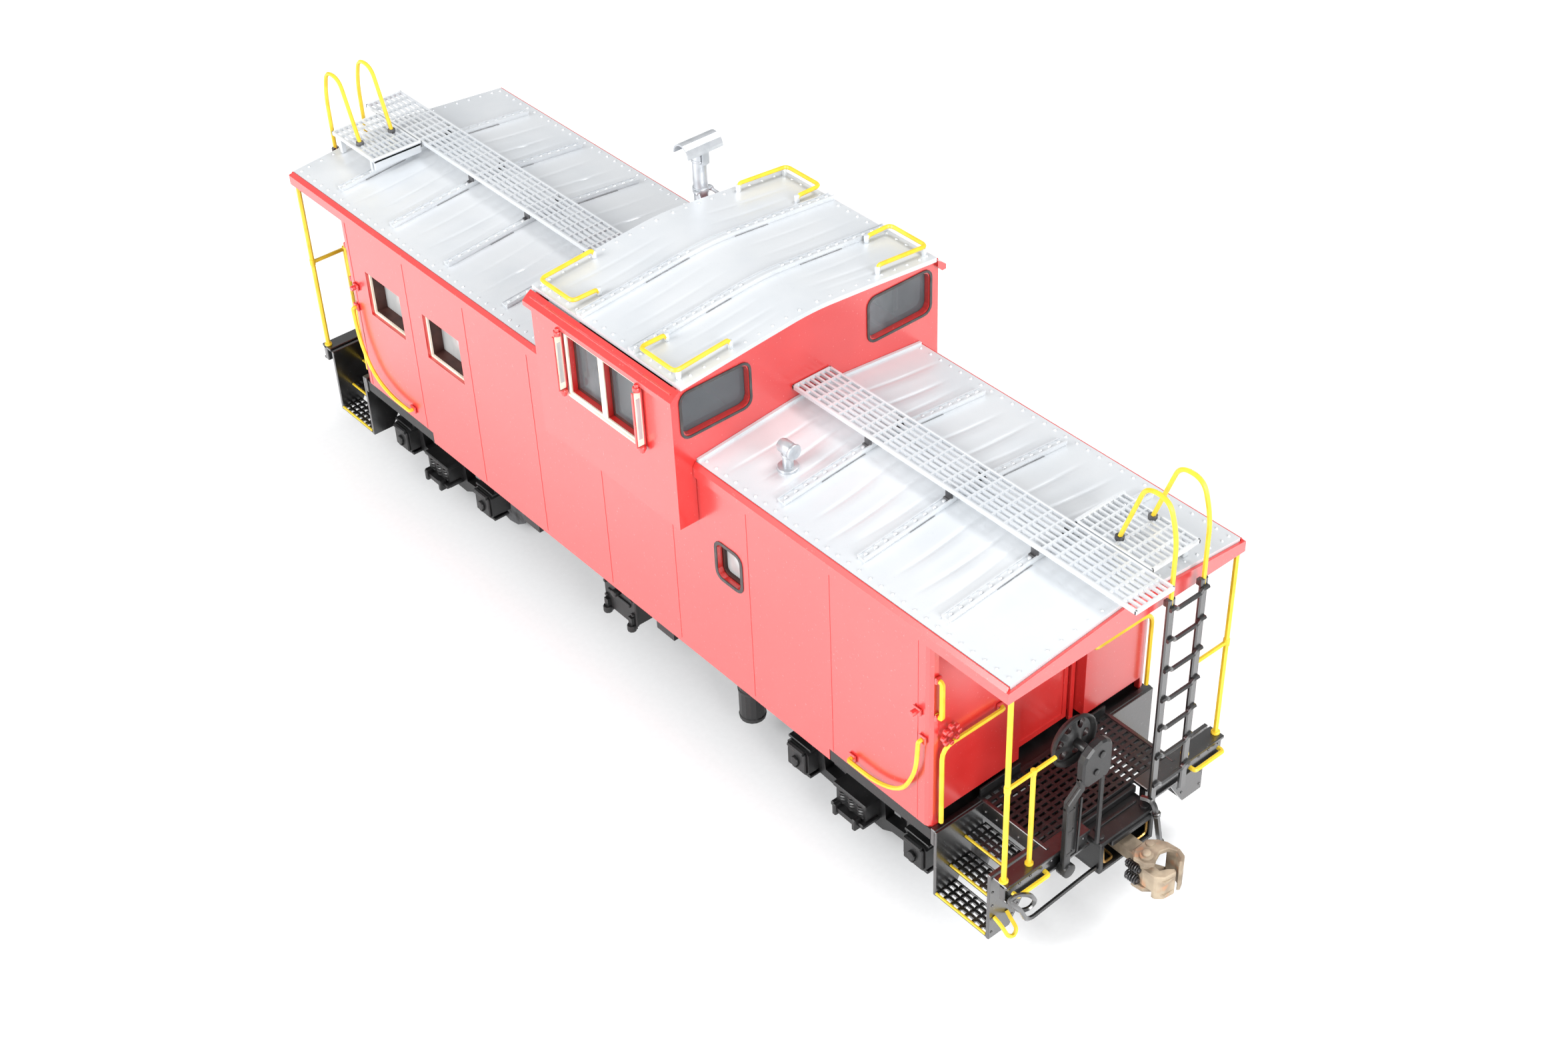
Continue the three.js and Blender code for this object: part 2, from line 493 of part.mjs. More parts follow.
// ---- trucks, about the truck's own centre ----
function sideFrame(side) {
  const upper = [[-11.3, 7.2], [-11.3, 3.9], [-8.0, 3.6], [-4.4, 3.4], [-2.9, 2.6], [2.9, 2.6], [4.4, 3.4], [8.0, 3.6],
    [11.3, 3.9], [11.3, 7.2], [7.6, 9.6], [3.0, 10.5], [-3.0, 10.5], [-7.6, 9.6]];
  const inner = TRUCK.side;
  const outer = TRUCK.side + TRUCK.side_depth;
  const ys = [side * inner, side * outer].sort((a, b) => a - b);
  let frame = prism('y', upper, ys[0], ys[1]);
  for (const end of [-1, 1]) {
    const gapOutline = [[3.2, 8.9], [3.4, 4.6], [6.6, 4.8], [6.9, 7.6]].map(([x, z]) => [end * x, z]);
    frame = frame.subtract(prism('y', gapOutline, ys[0] - 1, ys[1] + 1));
    const bx = [side * inner, side * TRUCK.box].sort((a, b) => a - b);
    const centre = end * TRUCK.half_base;
    const journalBox = roundedRectangle(centre - 1.8, centre + 1.8, 3.5, 7.5, 0.6, 1);
    frame = frame.add(prism('y', journalBox, bx[0], bx[1]));
    const hole = cylinder('y', [centre, side * (inner + 1.0), WHEEL.axle], WHEEL.journal + 0.15, 2.6, 10);
    frame = frame.subtract(hole);
  }
  const leaves = [side * (outer - 0.2), side * 14.0].sort((a, b) => a - b);
  const springs = box(-2.4, 2.4, leaves[0], leaves[1], 4.0, 7.0);
  const plank = box(-1.6, 1.6, side > 0 ? 13.9 : -14.9, side > 0 ? 14.9 : -13.9, 4.1, 4.8);
  return join(frame, springs, plank);
}

function truckFrame() {
  const bolster = box(-2.6, 2.6, -TRUCK.side - 0.2, TRUCK.side + 0.2, 7.4, 10.3);
  const plate = cylinder('z', [0, 0, 10.5], 3.0, 0.7, 14);
  return join(bolster, plate, sideFrame(-1), sideFrame(1));
}

function wheelset() {
  const { tread, flange, inner, outer, journal } = WHEEL;
  const end = TRUCK.box - 0.95;
  const half = [[0, end], [journal, end - 0.4], [journal, outer], [tread, outer - 0.1], [tread, inner + 0.8],
    [flange, inner + 0.45], [flange, inner + 0.05], [0.9, inner]];
  const profile = [...half.map(([r, y]) => [r, -y]), ...half.slice().reverse()];
  return solid(new THREE.LatheGeometry(profile.map(([r, y]) => new THREE.Vector2(r, y)), 16));
}

// ---- underframe ----
function underframe() {
  const floor = box(-52.0, 52.0, -15.3, 15.3, 13.5, 14.9);
  const pieces = [floor];
  for (const end of [-1, 1]) {
    const strip = [end * (SKIRT_X + GAP), end * (BODY.x - GAP)].sort((a, b) => a - b);
    pieces.push(box(strip[0], strip[1], -16.05, 16.05, 13.4, 14.95));
    const sill = [0, end * (DRAFT.x0 - GAP)].sort((a, b) => a - b);
    pieces.push(box(sill[0], sill[1], -2.4, 2.4, 12.64, 14.66));
    const truck = end > 0 ? TRUCK.a : -TRUCK.b;
    pieces.push(cylinder('z', [truck, 0, 12.3], 3.4, 2.8, 14));
    pieces.push(box(truck - 1.8, truck + 1.8, -15.0, 15.0, 12.5, 13.6));
  }
  for (const x of [9.2, -17.5]) pieces.push(box(x - 1.6, x + 1.6, -15.8, 15.8, 11.9, 13.36));
  const fishBelly = [[-30, 12.7], [-22, 9.6], [22, 9.6], [30, 12.7]];
  pieces.push(prism('y', fishBelly, -2.4, 2.4));
  return join(...pieces);
}

function drainPipe() {
  return cylinder('z', [19.4, -11.6, (13.46 + 3.6) / 2], 1.55, 13.46 - 3.6, 16);
}

function equipmentBox() {
  const chest = box(-5.8, 0.2, -13.5, -8.4, 5.9, 13.46);
  const lugs = [-5.2, -0.4].map((x) => box(x - 0.35, x + 0.35, -14.2, -13.4, 5.2, 7.2));
  return join(chest, ...lugs);
}

function airReservoir() {
  const tank = cylinder('x', [-4.0, 9.0, 9.6], 2.5, 13.0, 14);
  const hangers = [-8.4, 0.4].map((x) => box(x - 0.4, x + 0.4, 7.4, 10.6, 9.6, 13.46));
  return join(tank, ...hangers);
}

// ---- assembly ----
const caboose = new THREE.Group();
const endA = new THREE.Group();
const endB = new THREE.Group();
endB.rotation.z = Math.PI;
caboose.add(endA, endB);

caboose.add(toMesh('body_shell', bodyShell(), RED));
caboose.add(toMesh('cupola_shell', cupolaShell(), RED));
caboose.add(toMesh('roof_a', roofSheet(ROOF, CUPOLA.x1 + GAP, ROOF.x, STRAPS_A), SILVER));
caboose.add(toMesh('roof_b', roofSheet(ROOF, -ROOF.x, CUPOLA.x0 - GAP, STRAPS_B), SILVER));
caboose.add(toMesh('cupola_roof', roofSheet(CUPOLA_ROOF, CUPOLA_ROOF.x0, CUPOLA_ROOF.x1, [1.2, 10.3]), SILVER));
caboose.add(toMesh('running_board_a', runningBoard(CUPOLA.x1 + 0.1, WALK.end, STRAPS_A), SILVER));
caboose.add(toMesh('running_board_b', runningBoard(-WALK.end, CUPOLA.x0 - 0.1, STRAPS_B), SILVER));
caboose.add(toMesh('smokejack', smokejack(), SILVER));
caboose.add(toMesh('roof_vent', roofVent(), SILVER));
caboose.add(toMesh('cupola_glazing', cupolaGlazing(), CLEAR));
caboose.add(toMesh('underframe', underframe(), BLACK));
caboose.add(toMesh('drain_pipe', drainPipe(), BLACK));
caboose.add(toMesh('equipment_box', equipmentBox(), BLACK));
caboose.add(toMesh('air_reservoir', airReservoir(), BLACK));

for (const [word, side] of [['left', 1], ['right', -1]]) {
  caboose.add(toMesh(`side_glazing_${word}`, sideGlazing(side), CLEAR));
  caboose.add(toMesh(`wind_deflector_${word}_a`, windDeflector(12.9, side), RED));
  caboose.add(toMesh(`wind_deflector_${word}_b`, windDeflector(-1.1, side), RED));
  for (const [end, turn] of [['a', 1], ['b', -1]]) {
    const grab = cupolaGrab(side);
    const centre = (CUPOLA_ROOF.x0 + CUPOLA_ROOF.x1) / 2;
    const placed = turn > 0 ? grab : grab.mirror([1, 0, 0]).translate([2 * centre, 0, 0]);
    caboose.add(toMesh(`cupola_grab_${word}_${end}`, placed, YELLOW));
  }
}

for (const [end, group] of [['a', endA], ['b', endB]]) {
  group.add(toMesh(`side_walk_${end}`, sideWalk(), SILVER));
  group.add(toMesh(`end_platform_${end}`, endPlatform(), BLACK));
  group.add(toMesh(`ladder_${end}`, ladder(), BLACK));
  group.add(toMesh(`brake_stand_${end}`, brakeStand(), BLACK));
  group.add(toMesh(`brake_wheel_${end}`, brakeWheel(), BLACK));
  group.add(toMesh(`railing_brake_side_${end}`, cornerRailing(-1, { post: 12.2, reach: 9.2 }), YELLOW));
  group.add(toMesh(`railing_ladder_side_${end}`, cornerRailing(1, { post: 10.9, reach: 10.9 }), YELLOW));
  group.add(toMesh(`end_grab_brake_side_${end}`, endGrab(-1), YELLOW));
  group.add(toMesh(`end_grab_ladder_side_${end}`, endGrab(1), YELLOW));
  group.add(toMesh(`side_grab_brake_side_${end}`, sideGrab(-1), YELLOW));
  group.add(toMesh(`side_grab_ladder_side_${end}`, sideGrab(1), YELLOW));
  group.add(toMesh(`uncoupling_lever_${end}`, uncouplingLever(), BLACK));
  group.add(toMesh(`draft_box_${end}`, draftBox(), BLACK));
  group.add(toMesh(`coupler_${end}`, couplerBody(), RUST));
  group.add(toMesh(`knuckle_${end}`, knuckle(), RUST));
  const truck = new THREE.Group();
  truck.position.x = TRUCK[end];
  group.add(truck);
  truck.add(toMesh(`truck_frame_${end}`, truckFrame(), BLACK));
  for (const [place, sign] of [['outer', 1], ['inner', -1]]) {
    const wheels = toMesh(`wheelset_${end}_${place}`, wheelset(), STEEL);
    wheels.position.set(sign * TRUCK.half_base, 0, WHEEL.axle);
    truck.add(wheels);
  }
}

export default caboose;
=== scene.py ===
# %% [markdown]
# # A model caboose, dressed in Blender
# The frame is already made: sixty separate solids from CAD, each riding on its own body. This
# lesson adds what the CAD leaves out, such as rivets, gratings, gaskets and paint. It reads the
# sizes of the roofs and the walks from the frame, and gives the places of the other pieces as
# numbers.

import bpy
import json
from math import cos, pi, radians, sin
from mathutils import Matrix, Vector

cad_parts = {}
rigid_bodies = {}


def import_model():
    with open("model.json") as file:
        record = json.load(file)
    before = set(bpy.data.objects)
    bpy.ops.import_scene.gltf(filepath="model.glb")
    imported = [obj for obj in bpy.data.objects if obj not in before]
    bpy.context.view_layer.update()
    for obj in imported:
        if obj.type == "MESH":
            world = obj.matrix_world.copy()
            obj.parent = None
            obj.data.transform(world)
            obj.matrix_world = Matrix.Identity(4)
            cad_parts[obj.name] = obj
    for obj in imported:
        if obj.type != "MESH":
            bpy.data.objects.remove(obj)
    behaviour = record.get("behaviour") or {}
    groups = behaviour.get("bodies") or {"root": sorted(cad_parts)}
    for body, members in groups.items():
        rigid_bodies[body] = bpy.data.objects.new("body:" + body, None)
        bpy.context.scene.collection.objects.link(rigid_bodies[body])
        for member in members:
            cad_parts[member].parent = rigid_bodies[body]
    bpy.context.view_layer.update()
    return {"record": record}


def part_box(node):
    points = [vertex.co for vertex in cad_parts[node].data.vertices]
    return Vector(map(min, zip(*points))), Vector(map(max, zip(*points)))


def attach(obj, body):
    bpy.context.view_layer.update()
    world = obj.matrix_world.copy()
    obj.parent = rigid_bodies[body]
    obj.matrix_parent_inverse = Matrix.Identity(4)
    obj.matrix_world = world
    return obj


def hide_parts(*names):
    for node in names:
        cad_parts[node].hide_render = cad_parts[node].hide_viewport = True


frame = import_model()
MM = 0.001

# %% [markdown]
# The camera looks down on the right-hand side and the A end, from about a quarter of a metre
# away, as one would hold a camera over a model on a table. Its turn is given as three
# directions: to the right, up, and back towards the camera.

# %% Camera
bpy.ops.object.camera_add(location=(0.16947, -0.12595, 0.18471))
camera = bpy.context.active_object
camera.name = "camera"
azimuth, elevation, roll = radians(51.313), radians(38.984), radians(-2.447)
back = Vector((sin(azimuth) * cos(elevation), -cos(azimuth) * cos(elevation), sin(elevation)))
level = Vector((cos(azimuth), sin(azimuth), 0.0))
upward = back.cross(level)
right = level * cos(roll) + upward * sin(roll)
turn = Matrix((right, back.cross(right), back)).transposed()
camera.matrix_world = Matrix.Translation(camera.location) @ turn.to_4x4()
camera.data.lens = 51.56
camera.data.sensor_width = 36.0
camera.data.clip_start = 0.01
bpy.context.scene.camera = camera
bpy.context.scene.view_settings.view_transform = "Standard"
print("camera at", tuple(round(v, 3) for v in camera.location))

# %% [markdown]
# A material is a little sum worked out for every spot of a surface. Blender draws such sums
# as nodes and wires. The class below wraps one output of a node, so that a sum can be written
# as ordinary maths: `1 - mask * 0.5` adds the two Math nodes and wires them up.


# %% Shader maths
# A Mix node has its own sockets for each kind of data. These four are the ones for colours.
MIX_FACTOR, MIX_FIRST, MIX_SECOND, MIX_RESULT = 0, 6, 7, 2


class Shade:
    """One output of a shader node, which can be added, multiplied and mixed."""

    def __init__(self, tree, socket=None):
        self.tree = tree
        self.socket = socket

    def node(self, kind, settings=None, sockets=None, result=0):
        """Any other node: its settings first, then the values or links of its sockets."""
        made = self.tree.nodes.new(kind)
        for name, value in (settings or {}).items():
            setattr(made, name, value)
        for name, value in (sockets or {}).items():
            if isinstance(value, Shade):
                self.tree.links.new(value.socket, made.inputs[name])
            else:
                made.inputs[name].default_value = value
        return Shade(self.tree, made.outputs[result] if made.outputs else None)

    def maths(self, operation, *values):
        return self.node("ShaderNodeMath", {"operation": operation}, dict(enumerate(values)))

    def __add__(self, other):
        return self.maths("ADD", self, other)

    def __sub__(self, other):
        return self.maths("SUBTRACT", self, other)

    def __rsub__(self, other):
        return self.maths("SUBTRACT", other, self)

    def __mul__(self, other):
        return self.maths("MULTIPLY", self, other)

    __radd__ = __add__
    __rmul__ = __mul__

    def above(self, low, high):
        """0 below low, 1 above high, and a smooth change between them."""
        smooth = {"interpolation_type": "SMOOTHSTEP", "clamp": True}
        return self.node("ShaderNodeMapRange", smooth,
                         {"Value": self, "From Min": low, "From Max": high})

    def mix(self, first, second):
        """A colour between two others, by this value."""
        colours = {MIX_FACTOR: self, MIX_FIRST: first, MIX_SECOND: second}
        return self.node("ShaderNodeMix", {"data_type": "RGBA"}, colours, MIX_RESULT)


print("shader maths ready")

# %% [markdown]
# Every finish starts and ends the same way: an empty material, the place of each spot on its
# own object, some noise, a bump, and at the end one Principled shader. Each of these gets its
# own small function, so that a finish below is only its recipe.


# %% Parts of a finish
def new_material(name):
    material = bpy.data.materials.new(name)
    material.use_nodes = True
    material.node_tree.nodes.clear()
    return material, Shade(material.node_tree)


def finish_material(material, shade, sockets):
    surface = shade.node("ShaderNodeBsdfPrincipled", None, sockets)
    shade.node("ShaderNodeOutputMaterial", None, {"Surface": surface})
    print("finish:", material.name, len(material.node_tree.nodes), "nodes")
    return material


def place_on_object(shade):
    return shade.node("ShaderNodeTexCoord", None, None, "Object")


def noise(shade, place, per_mm, detail=2.0, roughness=0.5, stretch=None):
    """Cloudy noise with so many cells in a millimetre, from 0 to 1."""
    if stretch:
        place = shade.node("ShaderNodeMapping", None, {"Vector": place, "Scale": stretch})
    sockets = {"Vector": place, "Scale": per_mm / MM, "Detail": detail, "Roughness": roughness}
    return shade.node("ShaderNodeTexNoise", None, sockets)


def bump(shade, height, depth_mm, strength=1.0, normal=None):
    sockets = {"Height": height, "Distance": depth_mm * MM, "Strength": strength}
    if normal:
        sockets["Normal"] = normal
    return shade.node("ShaderNodeBump", None, sockets)


def colour(red, green, blue):
    """A colour given as it looks on a screen, from 0 to 255, turned into light."""
    return tuple((v / 255.0) ** 2.2 for v in (red, green, blue)) + (1.0,)


print("finish helpers ready")

# %% [markdown]
# Every piece of this model is brass or white metal under sprayed or brushed paint. Sprayed
# enamel has a very fine orange peel and dust caught in it; it is a touch paler where it is
# thin. All the painted finishes share one recipe and differ in colour, gloss and coarseness.


# %% Painted finishes
def enamel(name, base, thin, dust, gloss, peel_mm=0.004, cloud=0.12, coat=0.0, metallic=0.0,
           specks=0.0):
    """Paint in two close tones with dust in it; cloud is how many patches a millimetre holds."""
    material, shade = new_material(name)
    place = place_on_object(shade)
    clouds = noise(shade, place, cloud, 3.0).above(0.35, 0.7)
    grain = noise(shade, place, 9.0, detail=2.0)
    tint = clouds.mix(base, thin)
    specked = noise(shade, place, 3.2, detail=3.0, roughness=0.6).above(0.66, 0.72)
    tint = (specked * specks).mix(tint, dust)
    rough = grain * 0.08 + clouds * 0.06 + (gloss - 0.07)
    height = noise(shade, place, 2.6, detail=2.0) * 0.8 + grain * 0.35
    normal = bump(shade, height, peel_mm)
    return finish_material(material, shade, {
        "Base Color": tint, "Roughness": rough, "Metallic": metallic, "Normal": normal,
        "Coat Weight": coat, "Coat Roughness": 0.22, "Coat IOR": 1.85,
        "Specular IOR Level": 0.5})


RED = colour(192, 37, 34)
RED_THIN = colour(198, 45, 42)
SILVER = colour(209, 212, 215)
SILVER_THIN = colour(200, 204, 208)
YELLOW = colour(222, 190, 54)
YELLOW_THIN = colour(206, 174, 40)
BLACK = colour(13, 13, 14)
BLACK_THIN = colour(26, 26, 27)

red_paint = enamel("red_enamel", RED, RED_THIN, colour(240, 170, 160), 0.4, 0.004, coat=1.0,
                   specks=0.25)
silver_paint = enamel("silver_enamel", SILVER, SILVER_THIN, colour(150, 150, 155), 0.4, 0.005,
                      specks=0.12, metallic=0.35)
# The same silver as the roof, made darker and more metallic for the vent and the smokejack: the
# darker colour is painted shade and painted dark reflection, and the metal sheen is rendered.
silver_darkened_for_shade = enamel("silver_shaded_fittings", colour(190, 193, 197), colour(172, 176, 181),
                         colour(130, 130, 134), 0.36, 0.008, cloud=0.7, specks=0.2, metallic=0.6)
yellow_paint = enamel("yellow_enamel", YELLOW, YELLOW_THIN, colour(120, 90, 20), 0.38, 0.012,
                      cloud=0.5, specks=0.2)
black_paint = enamel("black_enamel", BLACK, BLACK_THIN, colour(110, 110, 112), 0.34, 0.008,
                     cloud=0.4, coat=1.0, specks=0.35)
chassis_black = enamel("chassis_black", colour(15, 15, 16), colour(24, 24, 25),
                       colour(84, 84, 86), 0.5, 0.012, cloud=0.6, coat=0.15, specks=0.3)
grey_paint = enamel("weathered_black_enamel", colour(52, 52, 54), colour(84, 84, 86),
                    colour(120, 118, 114), 0.42, 0.01, cloud=0.6, specks=0.5)

# %% [markdown]
# The couplers are cast metal brushed with rust colours: dark in the hollows, orange where the
# brush passed. The wheels are turned steel, with fine rings from the lathe and some dirt.


# %% Cast and turned metal
def rusty():
    material, shade = new_material("rust_wash")
    place = place_on_object(shade)
    patches = noise(shade, place, 0.5, detail=2.0, roughness=0.5).above(0.3, 0.7)
    orange = noise(shade, place, 0.7, detail=2.0).above(0.55, 0.72)
    grain = noise(shade, place, 8.0, detail=3.0)
    tint = patches.mix(colour(124, 111, 95), colour(166, 151, 130))
    tint = (orange * 0.55).mix(tint, colour(190, 130, 90))
    tint = (grain.above(0.6, 0.75) * 0.2).mix(tint, colour(92, 80, 72))
    rough = grain * 0.15 + 0.6
    normal = bump(shade, grain + patches * 0.4, 0.01)
    return finish_material(material, shade, {
        "Base Color": tint, "Roughness": rough, "Metallic": 0.15, "Normal": normal})


def turned_steel():
    material, shade = new_material("turned_steel")
    place = place_on_object(shade)
    rings = noise(shade, place, 2.0, detail=2.0, roughness=0.5, stretch=(0.15, 4.0, 0.15))
    dirt = noise(shade, place, 0.5, detail=3.0).above(0.45, 0.7)
    tint = dirt.mix(colour(92, 92, 94), colour(58, 56, 55))
    rough = rings * 0.12 + dirt * 0.2 + 0.26
    normal = bump(shade, rings, 0.008)
    return finish_material(material, shade, {
        "Base Color": tint, "Roughness": rough, "Metallic": 0.85, "Normal": normal})


rust_paint = rusty()
steel = turned_steel()

# %% [markdown]
# The window panes are thin clear plastic, slightly smoky, so that the empty body behind them
# reads as grey. A little of the surface is left rough, as finger-marked plastic is.


# %% Glazing
def glazing_sheet():
    material, shade = new_material("clear_plastic")
    place = place_on_object(shade)
    smear = noise(shade, place, 0.25, detail=3.0, roughness=0.6,
                  stretch=(1.0, 1.0, 0.4)).above(0.45, 0.75)
    fine = noise(shade, place, 4.0)
    tint = smear.mix(colour(104, 108, 112), colour(126, 130, 134))
    rough = smear * 0.15 + fine * 0.04 + 0.06
    opacity = smear * 0.06 + 0.44
    normal = bump(shade, smear, 0.01)
    return finish_material(material, shade, {
        "Base Color": tint, "Roughness": rough, "Alpha": opacity, "Normal": normal,
        "Specular IOR Level": 0.6})


clear_plastic = glazing_sheet()
FINISHES = {"red_paint": red_paint, "silver_paint": silver_paint, "yellow_paint": yellow_paint,
            "black_paint": black_paint, "rust_paint": rust_paint, "wheel_steel": steel,
            "glazing": clear_plastic}

# %% [markdown]
# Each CAD solid already knows the record's slot for its finish, so one loop paints them all.

# %% Paint the CAD solids
for part in frame["record"]["subparts"]:
    solid = bpy.data.objects[part["node"]]
    for index in range(max(len(solid.material_slots), 1)):
        if not solid.material_slots:
            solid.data.materials.append(FINISHES[part["material_slot"]])
        solid.material_slots[index].material = FINISHES[part["material_slot"]]

# %% [markdown]
# Modelling starts with a few hand tools, each doing what one would do by hand with the mouse:
# select a piece, go into edit mode, apply a modifier, copy, join. Every finished piece has its
# origin at the world's, so `settle` applies its place into its mesh. The car is the same at
# both ends and nearly the same on both sides, so most pieces are made once and copied.

# %% Hand tools
bpy.context.tool_settings.mesh_select_mode = (True, False, False)


def alone(*pieces):
    """Select only these pieces, with the last one active."""
    bpy.ops.object.select_all(action="DESELECT")
    for piece in pieces:
        piece.select_set(True)
    bpy.context.view_layer.objects.active = pieces[-1]
    return pieces[-1]


def in_edit(piece, *steps):
    """Run operators on all of a piece's mesh in edit mode."""
    alone(piece)
    bpy.ops.object.mode_set(mode="EDIT")
    bpy.ops.mesh.select_all(action="SELECT")
    for operator, settings in steps:
        operator(**settings)
    bpy.ops.object.mode_set(mode="OBJECT")
    return piece


def settle(piece):
    alone(piece)
    bpy.ops.object.transform_apply(location=True, rotation=True, scale=True)
    return piece


def modify(piece, kind, **settings):
    alone(piece)
    added = piece.modifiers.new(kind.lower(), kind)
    for name, value in settings.items():
        setattr(added, name, value)
    bpy.ops.object.modifier_apply(modifier=added.name)
    return piece


def copied(piece, shift=(0.0, 0.0, 0.0)):
    """A copy with its own mesh, moved by so many millimetres."""
    alone(piece)
    bpy.ops.object.duplicate()
    twin = bpy.context.active_object
    twin.location = Vector(shift) * MM
    return settle(twin)


def joined(pieces):
    alone(*pieces)
    if len(pieces) > 1:
        bpy.ops.object.join()
    return bpy.context.active_object


def smooth(piece, angle=35):
    alone(piece)
    bpy.ops.object.shade_smooth_by_angle(angle=radians(angle))
    return piece


def half_turn(piece):
    """The same piece at the other end of the car."""
    twin = copied(piece)
    twin.rotation_euler.z = pi
    return settle(twin)


def mirrored(piece):
    """The same piece on the other side of the car, turned right side out again."""
    twin = copied(piece)
    twin.scale.y = -1.0
    settle(twin)
    return in_edit(twin, (bpy.ops.mesh.normals_make_consistent, {"inside": False}))


def dress(piece, name, body, slot, material, *nodes):
    """Name a finished piece, paint it, and tell the frame what it rides on."""
    piece.name = piece.data.name = name
    piece.data.materials.clear()
    piece.data.materials.append(material)
    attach(piece, body)
    if nodes:
        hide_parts(*nodes)
    print(name, len(piece.data.polygons), "faces")
    return piece


def both_ends(piece, name, slot, material, node="", body=""):
    """The piece at the A end and a copy at the B end, each for its own CAD node."""
    far = half_turn(piece)
    for end, item in (("_a", piece), ("_b", far)):
        nodes = [node + end] if node else []
        dress(item, name + end, body + end if body else "car", slot, material, *nodes)


def both_sides(piece, name, slot, material, node="", ends=("",)):
    """The piece on the right side and its mirror image on the left."""
    far = mirrored(piece)
    for side, item in (("_left", far), ("_right", piece)):
        nodes = [node + side + end for end in ends] if node else []
        dress(item, name + side, "car", slot, material, *nodes)


print("hand tools ready")

# %% [markdown]
# Three kinds of stock make most of this model, as they do for a real model builder: milled
# blocks, bent wire and cut sheet. A block is a cube with its edges broken by a bevel. A wire
# is one vertex pulled from corner to corner and given a round section. A sheet is an outline
# pulled out the same way, filled, and given its thickness.


# %% Blocks, wires and sheets
def block(low, high, edge=0.08):
    size = Vector(high) - Vector(low)
    bpy.ops.object.select_all(action="DESELECT")
    bpy.ops.mesh.primitive_cube_add(size=1.0, location=(Vector(low) + size / 2) * MM)
    piece = bpy.context.active_object
    piece.scale = size * MM
    settle(piece)
    edge = min(edge, 0.3 * min(size))
    bevel = {"offset": edge * MM, "segments": 1, "affect": "EDGES"}
    return in_edit(piece, (bpy.ops.mesh.bevel, bevel))


def rod(centre, radius, length, axis="z", sides=12, edge=0.06):
    turn = {"x": (0.0, pi / 2, 0.0), "y": (pi / 2, 0.0, 0.0), "z": (0.0, 0.0, 0.0)}[axis]
    bpy.ops.object.select_all(action="DESELECT")
    bpy.ops.mesh.primitive_cylinder_add(vertices=sides, radius=radius * MM, depth=length * MM,
                                        location=Vector(centre) * MM, rotation=turn)
    piece = settle(bpy.context.active_object)
    if edge:
        modify(piece, "BEVEL", width=edge * MM, segments=2, limit_method="ANGLE",
               angle_limit=radians(60))
    return smooth(piece, 40)


def trace(points):
    """A chain of edges, drawn by pulling one vertex along."""
    places = [Vector(point) * MM for point in points]
    bpy.ops.object.select_all(action="DESELECT")
    bpy.ops.mesh.primitive_plane_add(size=0.01 * MM, location=places[0])
    line = settle(bpy.context.active_object)
    bpy.ops.object.mode_set(mode="EDIT")
    bpy.ops.mesh.select_all(action="SELECT")
    bpy.ops.mesh.merge(type="CENTER")
    for before, after in zip(places, places[1:]):
        bpy.ops.mesh.extrude_vertices_move(TRANSFORM_OT_translate={"value": after - before})
    bpy.ops.object.mode_set(mode="OBJECT")
    return line


def rounded(points, radius, steps=4):
    """Points with each corner replaced by a curve of about that radius."""
    at = [Vector(point) for point in points]
    route = [at[0]]
    for before, here, after in zip(at, at[1:], at[2:]):
        back, on = before - here, after - here
        reach = min(radius, back.length * 0.48, on.length * 0.48)
        start, end = here + back.normalized() * reach, here + on.normalized() * reach
        for step in range(steps + 1):
            t = step / steps
            route.append(start * (1 - t) ** 2 + here * 2 * t * (1 - t) + end * t ** 2)
    return route + [at[-1]]


def wire(points, radius, bend=1.0, steps=4):
    line = trace(rounded(points, bend, steps))
    alone(line)
    bpy.ops.object.convert(target="CURVE")
    line = bpy.context.active_object
    line.data.bevel_depth = radius * MM
    line.data.bevel_resolution = 1
    line.data.use_fill_caps = True
    bpy.ops.object.convert(target="MESH")
    return smooth(bpy.context.active_object, 50)


def sheet(outline, thickness, push, edge=0.0):
    """A flat plate filled from an outline and pushed out by a vector of that thickness."""
    plate = trace(list(outline) + [outline[0]])
    vector = Vector(push).normalized() * thickness * MM
    bpy.ops.object.mode_set(mode="EDIT")
    bpy.ops.mesh.select_all(action="SELECT")
    bpy.ops.mesh.remove_doubles(threshold=0.002 * MM)
    bpy.ops.mesh.edge_face_add()
    bpy.ops.mesh.extrude_region_move(TRANSFORM_OT_translate={"value": vector})
    bpy.ops.mesh.select_all(action="SELECT")
    bpy.ops.mesh.normals_make_consistent(inside=False)
    bpy.ops.object.mode_set(mode="OBJECT")
    if edge:
        modify(plate, "BEVEL", width=edge * MM, segments=1, limit_method="ANGLE")
    return plate


print("stock ready")

# %% [markdown]
# What repeats on the model is small: rivets, and the slots of the gratings. One rivet is the
# top half of a sphere, pressed a little flat, and an Array modifier sets a row of them. One
# slot is a plane with its middle inset and taken out; two Arrays spread it into a sheet.

# %% Rivets and gratings
bpy.ops.object.select_all(action="DESELECT")
bpy.ops.mesh.primitive_uv_sphere_add(segments=8, ring_count=6, radius=0.2 * MM)
one_rivet = bpy.context.active_object
one_rivet.name = "one_rivet"
in_edit(one_rivet, (bpy.ops.mesh.bisect,
                    {"plane_co": (0, 0, -0.00001 * MM), "plane_no": (0, 0, 1),
                     "clear_inner": True}))
one_rivet.scale.z = 0.75
smooth(settle(one_rivet), 60)
FACING = {"+z": (0, 0, 0), "-y": (pi / 2, 0, 0), "+y": (-pi / 2, 0, 0), "+x": (0, pi / 2, 0)}


